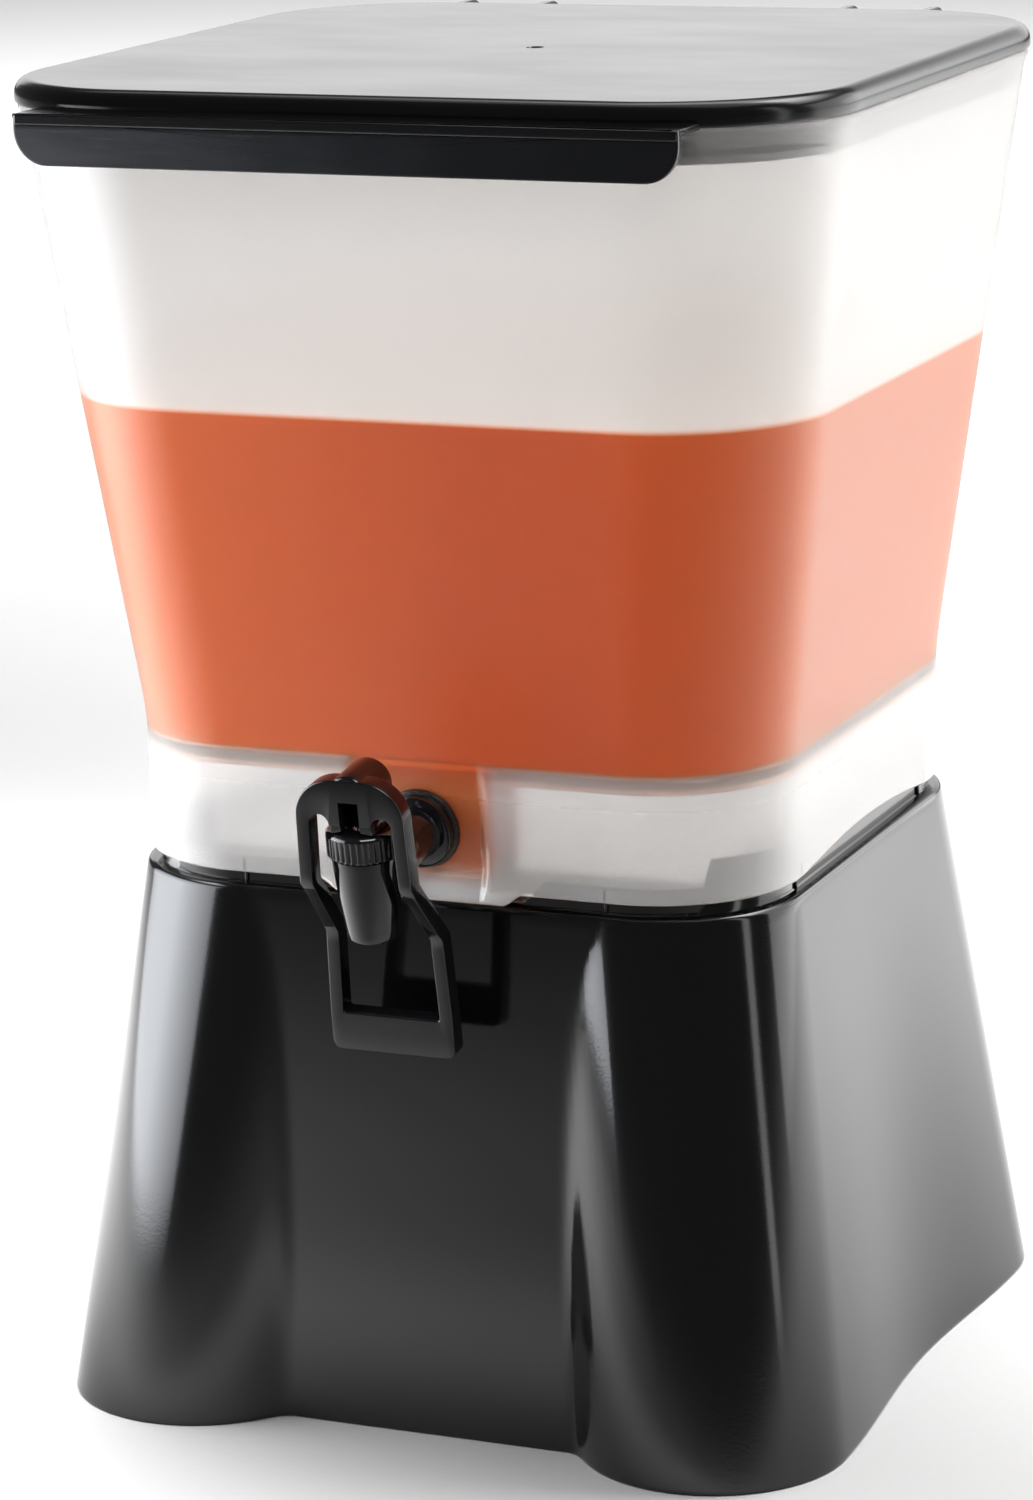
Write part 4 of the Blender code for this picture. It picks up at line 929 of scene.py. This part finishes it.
def handle_paths(sizes):
    """The handle's outer and inner outlines from the front, point for point, as (x, height) from top to bottom
    down the right side and back up the left."""
    arch, arm, loop = sizes.arch, sizes.arm, sizes.loop
    top, corner_r, tongue = 36 * MM, 13 * MM, 21 * MM
    tongue_half = 7.1 * MM
    notch = (arch - arm - tongue_half) / 2
    bend = (1.0 * MM, -22.7 * MM)
    low, bar = -63.4 * MM, 13 * MM
    a = np.radians(np.linspace(90, 0, 19))
    over = np.stack([arch - corner_r + corner_r * np.cos(a), top - corner_r + corner_r * np.sin(a)], -1)
    a = np.radians(np.linspace(180, 0, 19))
    under = np.stack([tongue_half + notch + notch * np.cos(a), tongue + notch * np.sin(a)], -1)

    def line(start, end, count):
        share = np.linspace(0, 1, count, endpoint=False)[:, None]
        return np.array(start) + (np.array(end) - np.array(start)) * share

    outer = [line((0, top), over[0], 8), over[:-1]]
    inner = [line((0, tongue), under[0], 8), under[:-1]]
    knots = [over[-1], (arch + 0.7 * MM, bend[0]), (loop - MM, bend[1]), (loop, low + bar)]
    inside = [under[-1], (arch + 0.7 * MM - arm, bend[0]), (loop - MM - arm, bend[1])]
    inside += [(loop - arm - 0.1 * MM, low + bar + 1.0 * MM)]
    for i in range(3):
        outer.append(line(knots[i], knots[i + 1], 7))
        inner.append(line(inside[i], inside[i + 1], 7))
    a = np.radians(np.linspace(0, -90, 9))
    r = 3 * MM
    bottom = np.stack([loop - r + r * np.cos(a), low + r + r * np.sin(a)], -1)
    r = 0.9 * MM
    inside_corner = np.stack([loop - arm - r + r * np.cos(a), low + bar + r + r * np.sin(a)], -1)
    outer += [line(knots[3], bottom[0], 3), bottom]
    inner += [line(inside[3], inside_corner[0], 3), inside_corner]
    outer.append(line(bottom[-1], (0, low), 6)[1:])
    inner.append(line(inside_corner[-1], (0, low + bar), 6)[1:])
    outer, inner = np.concatenate(outer), np.concatenate(inner)
    mirror = np.array([-1, 1])
    outer = np.concatenate([outer, [[0, low]], (outer * mirror)[::-1][:-1]])
    inner = np.concatenate([inner, [[0, low + bar]], (inner * mirror)[::-1][:-1]])
    return outer, inner


def handle_skins(sizes):
    """The handle's band: a rounded section between the two outlines, carried round them.

    Its front face follows the side view: upright, a step back of 17.2 mm between two bends, upright again.
    """
    outer, inner = handle_paths(sizes)
    depth, edge, front, step = sizes.depth, 0.55 * MM, -10.3 * MM, 17.2 * MM
    width = np.linalg.norm(outer - inner, axis=1)
    way = (outer - inner) / width[:, None]
    turn = np.radians(np.linspace(0, 90, 5))
    out_a, out_d = edge * (1 - np.cos(turn)), edge * (1 - np.sin(turn))
    near = np.concatenate([out_a, -out_a[::-1], -out_a, out_a[::-1]])
    from_outer = np.concatenate([np.zeros(5), np.ones(5), np.ones(5), np.zeros(5)])
    level = np.concatenate([out_d, out_d[::-1], depth - out_d, depth - out_d[::-1]])
    across = from_outer[:, None] * width[None] + near[:, None]
    flat = inner[None] + across[..., None] * way[None]
    x, n = flat[..., 0], flat[..., 1]
    back = np.interp(-n, (-1.0 * MM, 22.7 * MM), (0, step))
    s = front + back + level[:, None]
    return [skin(on_faucet(np.stack([x, s, n], -1)), wrap=True)]


def hub_skin():
    """The hub over the stem: a block with a half-round top."""
    half, low, high, start, end = 7.5 * MM, 18.4 * MM, 37.5 * MM, -9.9 * MM, 8.0 * MM
    angle = np.radians(np.linspace(0, 180, 25))
    top = np.stack([half * np.cos(angle), high - half + half * np.sin(angle)], -1)
    outline = np.concatenate([[(-half, low), (-half / 3, low), (half / 3, low), (half, low)], top])
    rings = plate(outline, end - start, 1.1 * MM, "Y")
    return skin(on_faucet(moved(rings, y=(start + end) / 2)))


def slot_skin():
    """What the slot for the stem takes out of the hub and of the tongue in front of it."""
    half = 3.35 * MM
    return skin(on_faucet(block((-half, -12.3 * MM, 12 * MM), (half, 4.55 * MM, 28.9 * MM), 0.25 * MM)))


# ---- operators -----------------------------------------------------------------------------------------------


class DISPENSER_OT_stand(bpy.types.Operator):
    """Build the stand's shell with its buttresses, panels, collar and ribs"""

    bl_idname = "dispenser.stand"
    bl_label = "Stand"

    def execute(self, context):
        sizes = context.scene.dispenser_stand
        skins = centred(stand_shell(sizes))
        piece("stand_shell", skins, stand_polypropylene(), "stand", ["base_stand"])
        return {"FINISHED"}


class DISPENSER_OT_tank(bpy.types.Operator):
    """Build the tank with its skirt, tab, rim, sump and hinge knuckles"""

    bl_idname = "dispenser.tank"
    bl_label = "Tank"

    def execute(self, context):
        sizes = context.scene.dispenser_tank
        material = tank_polypropylene()
        piece("tank_shell", centred(tank_shell(sizes)), material, "tank", ["tank"])
        piece("tank_sump", centred(sump_cup(sizes)), material, "tank", ["tank"])
        for side, name in ((-1, "left"), (1, "right")):
            skins = hinge_knuckle(side, context.scene.dispenser_lid)
            piece(f"tank_knuckle_{name}", skins, material, "tank", ["tank"])
        return {"FINISHED"}


class DISPENSER_OT_drink(bpy.types.Operator):
    """Fill the tank with the drink that shows through its wall"""

    bl_idname = "dispenser.drink"
    bl_label = "Drink"

    def execute(self, context):
        sizes = context.scene.dispenser_tank
        piece("beverage", centred(drink_skins(sizes)), iced_tea(), "tank")
        return {"FINISHED"}


class DISPENSER_OT_lid(bpy.types.Operator):
    """Build the lid with its vent and plug, its finger lip and its hinge lugs"""

    bl_idname = "dispenser.lid"
    bl_label = "Lid"

    def execute(self, context):
        sizes = context.scene.dispenser_lid
        material = lid_polypropylene()
        shell = lid_shell(sizes, context.scene.dispenser_tank)
        piece("lid_shell", shell, material, "lid", ["lid"])
        piece("lid_lip", lid_lip(sizes), lip_polypropylene(), "lid", ["lid"])
        piece("lid_lugs", hinge_lugs(sizes), material, "lid", ["lid"])
        return {"FINISHED"}


class DISPENSER_OT_faucet(bpy.types.Operator):
    """Build the nozzle with its shank and flange, the bezel washer and the fluted bonnet"""

    bl_idname = "dispenser.faucet"
    bl_label = "Faucet"

    def execute(self, context):
        sizes = context.scene.dispenser_faucet
        material = faucet_abs()
        piece("faucet_nozzle", faucet_skins(sizes), material, "tank", ["faucet_body"])
        piece("faucet_bezel", bezel_skins(sizes), washer_rubber(), "tank", ["outer_washer"])
        piece("faucet_bonnet", bonnet_skins(sizes), material, "tank", ["bonnet"])
        return {"FINISHED"}


class DISPENSER_OT_handle(bpy.types.Operator):
    """Build the push handle: its arch, stepped arms, loop and slotted hub"""

    bl_idname = "dispenser.handle"
    bl_label = "Push handle"

    def execute(self, context):
        sizes = context.scene.dispenser_faucet
        material = bpy.data.materials["moulded_abs_black"]
        handle = piece("push_handle", handle_skins(sizes), material, "handle", ["faucet_handle"])
        carve(handle, hub_skin(), "UNION")
        carve(handle, slot_skin(), "DIFFERENCE")
        return {"FINISHED"}


class DISPENSER_OT_small_parts(bpy.types.Operator):
    """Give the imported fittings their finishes: pins, spring, washers, nut, stem, plug and seal"""

    bl_idname = "dispenser.small_parts"
    bl_label = "Small parts"

    def execute(self, context):
        steel, silicone = drawn_steel(), moulded_silicone()
        abs_black, rubber = (bpy.data.materials[name] for name in ("moulded_abs_black", "moulded_rubber_black"))
        finishes = {
            steel: ("hinge_pin_left", "hinge_pin_right", "return_spring", "thrust_washer", "handle_pin"),
            silicone: ("valve_plug", "stem_seal"),
            abs_black: ("shank_nut", "valve_stem"),
            rubber: ("inner_washer",),
        }
        for material, names in finishes.items():
            for name in names:
                slots = frame["nodes"][name].material_slots
                for i in range(len(slots)):
                    slots[i].material = material
        return {"FINISHED"}


def light_list(name, state, pieces):
    """The pieces that a light leaves out (EXCLUDE), as a flag on a stand does in a studio, or the only ones that it
    reaches (INCLUDE)."""
    listed = bpy.data.collections.new(name)
    for i, piece_name in enumerate(pieces):
        listed.objects.link(bpy.data.objects[piece_name])
        listed.collection_objects[i].light_linking.link_state = state
    return listed


def softbox(name, place, target, width, height, radiance, tint=(1.0, 1.0, 1.0), spread=180.0, lit=None):
    """An area light that faces a target, with a grid that narrows its beam to spread, in degrees. Lit is its light
    list, and without one it reaches everything.

    Its power is radiance * pi * its area * share. With h, half the spread, share is
    sin^2 h - (h - sin 2h / 2) / tan h, because the light fades as 1 - tan a / tan h at an angle a from its axis.
    """
    h = math.radians(spread) / 2
    share = math.sin(h) ** 2 - (h - math.sin(2 * h) / 2) / math.tan(h)
    light = bpy.data.lights.new(name, "AREA")
    light.shape = "RECTANGLE"
    light.size, light.size_y = width, height
    light.energy = radiance * math.pi * width * height * share
    light.spread = 2 * h
    light.color = tint
    lamp = bpy.data.objects.new(name, light)
    bpy.context.scene.collection.objects.link(lamp)
    lamp.location = place
    lamp.rotation_euler = (Vector(target) - Vector(place)).to_track_quat("-Z", "Y").to_euler()
    lamp.visible_camera = False
    lamp.light_linking.receiver_collection = lit


def lights():
    """The studio's softboxes: two behind, three aimed down at the floor, and five that the glossy plastic mirrors.
    Those five are kept off the floor, and off the black shells where they would bleach them."""
    softbox("back_wall", (0.0, 5.5, 1.4), (0.0, 0.0, 1.0), 11.0, 1.9, 1.35)
    softbox("back_floor", (0.0, 2.3, 2.4), (0.0, 2.3, 0.0), 6.0, 3.2, 6.6, spread=90.0)
    softbox("right_floor", (0.65, 0.6, 0.95), (0.65, 0.6, 0.0), 0.9, 1.0, 12.0, spread=110.0)
    softbox("left_floor", (-0.6, -0.05, 0.5), (-0.6, -0.05, 0.0), 0.7, 0.7, 17.0, spread=90.0)
    softbox("front_floor", (-0.05, -0.22, 0.17), (-0.05, -0.22, 0.0), 0.5, 0.06, 7.5, spread=80.0)
    off_floor = light_list("not_the_floor", "EXCLUDE", ["floor"])
    softbox("right_box", (0.95, 0.8, 0.55), (0.0, 0.0, 0.5), 1.3, 1.1, 1.8, lit=off_floor)
    softbox("right_strip", (1.18, -0.2, 0.7), (0.0, 0.0, 0.6), 0.12, 1.4, 2.0, lit=off_floor)
    off_lid, daylight = light_list("not_the_lid", "EXCLUDE", ["floor", "lid_shell"]), (0.92, 0.95, 1.0)
    softbox("left_box", (-0.85, -0.3, 0.36), (-0.1, -0.05, 0.32), 1.4, 0.8, 10.0, daylight, 100.0, off_lid)
    softbox("top_box", (0.1, 0.5, 1.9), (0.0, 0.1, 0.3), 1.6, 1.4, 0.8, lit=off_floor)
    off_black = light_list("not_the_black_shells", "EXCLUDE", ["floor", "lid_shell", "lid_lip", "stand_shell"])
    softbox("front_box", (0.5, -1.0, 1.3), (0.0, 0.0, 0.25), 0.9, 0.6, 8.0, lit=off_black)


def skirt_lamps():
    """Four lamps under the tank's floor, one for each side of the skirt and for the tank's wall alone. They stand in
    for the light that the milky wall would scatter there."""
    out, height = 0.085, 0.203
    only_tank = light_list("only_the_tank", "INCLUDE", ["tank_shell"])
    for side, (x, y) in {"front": (0, -1), "right": (1, 0), "back": (0, 1), "left": (-1, 0)}.items():
        place, target = (out * x, CENTRE_Y + out * y, height), (x, CENTRE_Y + y, height)
        softbox(f"under_tank_{side}", place, target, 0.17, 0.036, 0.45, lit=only_tank)


def floor_disc():
    """The floor: points (r cos a, r sin a, 0) on a few rings of radius r, closed by a point in the middle."""
    around = 64
    angle = np.linspace(0, 2 * np.pi, around, endpoint=False)
    radius = np.array([0.3, 1.5, 6.0, 14.0])[:, None]
    rings = np.stack([radius * np.cos(angle), radius * np.sin(angle), 0 * radius * angle], -1)
    points = np.concatenate([rings.reshape(-1, 3), [[0, 0, 0]]])
    j, k = np.arange(around), (np.arange(around) + 1) % around
    i = np.arange(len(radius) - 1)[:, None] * around
    quads = np.stack([i + j, i + j + around, i + k + around, i + k], -1).reshape(-1, 4)
    tris = np.stack([j, k, np.full(around, len(points) - 1)], -1)
    floor = bpy.data.objects.new("floor", new_mesh("floor", [(points, quads, tris)]))
    floor.data.materials.append(floor_paper())
    bpy.context.scene.collection.objects.link(floor)


def backdrop():
    """The world: a pale wall where the camera sees it, and a faint even fill as a light."""
    as_light, as_seen = 0.1, 0.8
    world = bpy.data.worlds.new("studio")
    world.use_nodes = True
    tree = world.node_tree
    seen = node(tree, "LightPath", output="Is Camera Ray")
    strength = node(tree, "MapRange", (seen, 0.0, 1.0, as_light, as_seen))
    fill(tree, tree.nodes["Background"], {"Color": (1.0, 1.0, 1.0, 1.0), "Strength": strength})
    bpy.context.scene.world = world


class DISPENSER_OT_stage(bpy.types.Operator):
    """Lay the floor and set the soft light and the camera"""

    bl_idname = "dispenser.stage"
    bl_label = "Stage"

    def execute(self, context):
        floor_disc()
        backdrop()
        lights()
        skirt_lamps()
        context.scene.view_settings.view_transform = "Standard"
        set_camera(context.scene)
        return {"FINISHED"}


def set_camera(scene):
    """Places the camera on a sphere about a point beside the object's middle, with a little roll."""
    azimuth, elevation, roll = np.radians([22.884, 13.974, -1.425])
    height, aside, distance = 0.202211, -0.011751, 1.686852
    out = math.cos(elevation)
    back = Vector((math.sin(azimuth) * out, -math.cos(azimuth) * out, math.sin(elevation)))
    right = Vector((math.cos(azimuth), math.sin(azimuth), 0.0))
    up = back.cross(right)
    place = Vector((0, CENTRE_Y, height)) + right * aside + back * distance
    level = right * math.cos(roll) + up * math.sin(roll)
    upright = up * math.cos(roll) - right * math.sin(roll)
    data = bpy.data.cameras.new("camera")
    data.lens, data.sensor_width = 120.036, 36.0
    data.clip_start, data.clip_end = 0.05, 60.0
    camera = bpy.data.objects.new("camera", data)
    scene.collection.objects.link(camera)
    turn = Matrix((level, upright, back)).transposed().to_4x4()
    camera.matrix_world = Matrix.Translation(place) @ turn
    scene.camera = camera


class DISPENSER_PT_panel(bpy.types.Panel):
    """Lists the dispenser's pieces and sizes"""

    bl_idname = "DISPENSER_PT_panel"
    bl_label = "Dispenser"
    bl_space_type = "VIEW_3D"
    bl_region_type = "UI"
    bl_category = "Dispenser"

    def draw(self, context):
        for operator in OPERATORS:
            self.layout.operator(operator.bl_idname)
        for name, _ in GROUPS:
            group = getattr(context.scene, name)
            box = self.layout.box()
            for prop in group.bl_rna.properties:
                if prop.identifier not in ("rna_type", "name"):
                    box.prop(group, prop.identifier)


OPERATORS = (
    DISPENSER_OT_stand,
    DISPENSER_OT_tank,
    DISPENSER_OT_drink,
    DISPENSER_OT_lid,
    DISPENSER_OT_faucet,
    DISPENSER_OT_handle,
    DISPENSER_OT_small_parts,
    DISPENSER_OT_stage,
)
GROUPS = (
    ("dispenser_stand", StandSizes),
    ("dispenser_tank", TankSizes),
    ("dispenser_lid", LidSizes),
    ("dispenser_faucet", FaucetSizes),
    ("dispenser_finishes", Finishes),
)


def register():
    """Registers the property groups, the operators and the panel."""
    for name, group in GROUPS:
        bpy.utils.register_class(group)
        setattr(bpy.types.Scene, name, PointerProperty(type=group))
    for cls in (*OPERATORS, DISPENSER_PT_panel):
        bpy.utils.register_class(cls)


def unregister():
    """Takes away everything that register added."""
    for cls in (DISPENSER_PT_panel, *reversed(OPERATORS)):
        bpy.utils.unregister_class(cls)
    for name, group in reversed(GROUPS):
        delattr(bpy.types.Scene, name)
        bpy.utils.unregister_class(group)


def main():
    """Builds every piece and the stage."""
    register()
    bpy.ops.dispenser.stand()
    bpy.ops.dispenser.tank()
    bpy.ops.dispenser.drink()
    bpy.ops.dispenser.lid()
    bpy.ops.dispenser.faucet()
    bpy.ops.dispenser.handle()
    bpy.ops.dispenser.small_parts()
    bpy.ops.dispenser.stage()


if __name__ == "__main__":
    main()
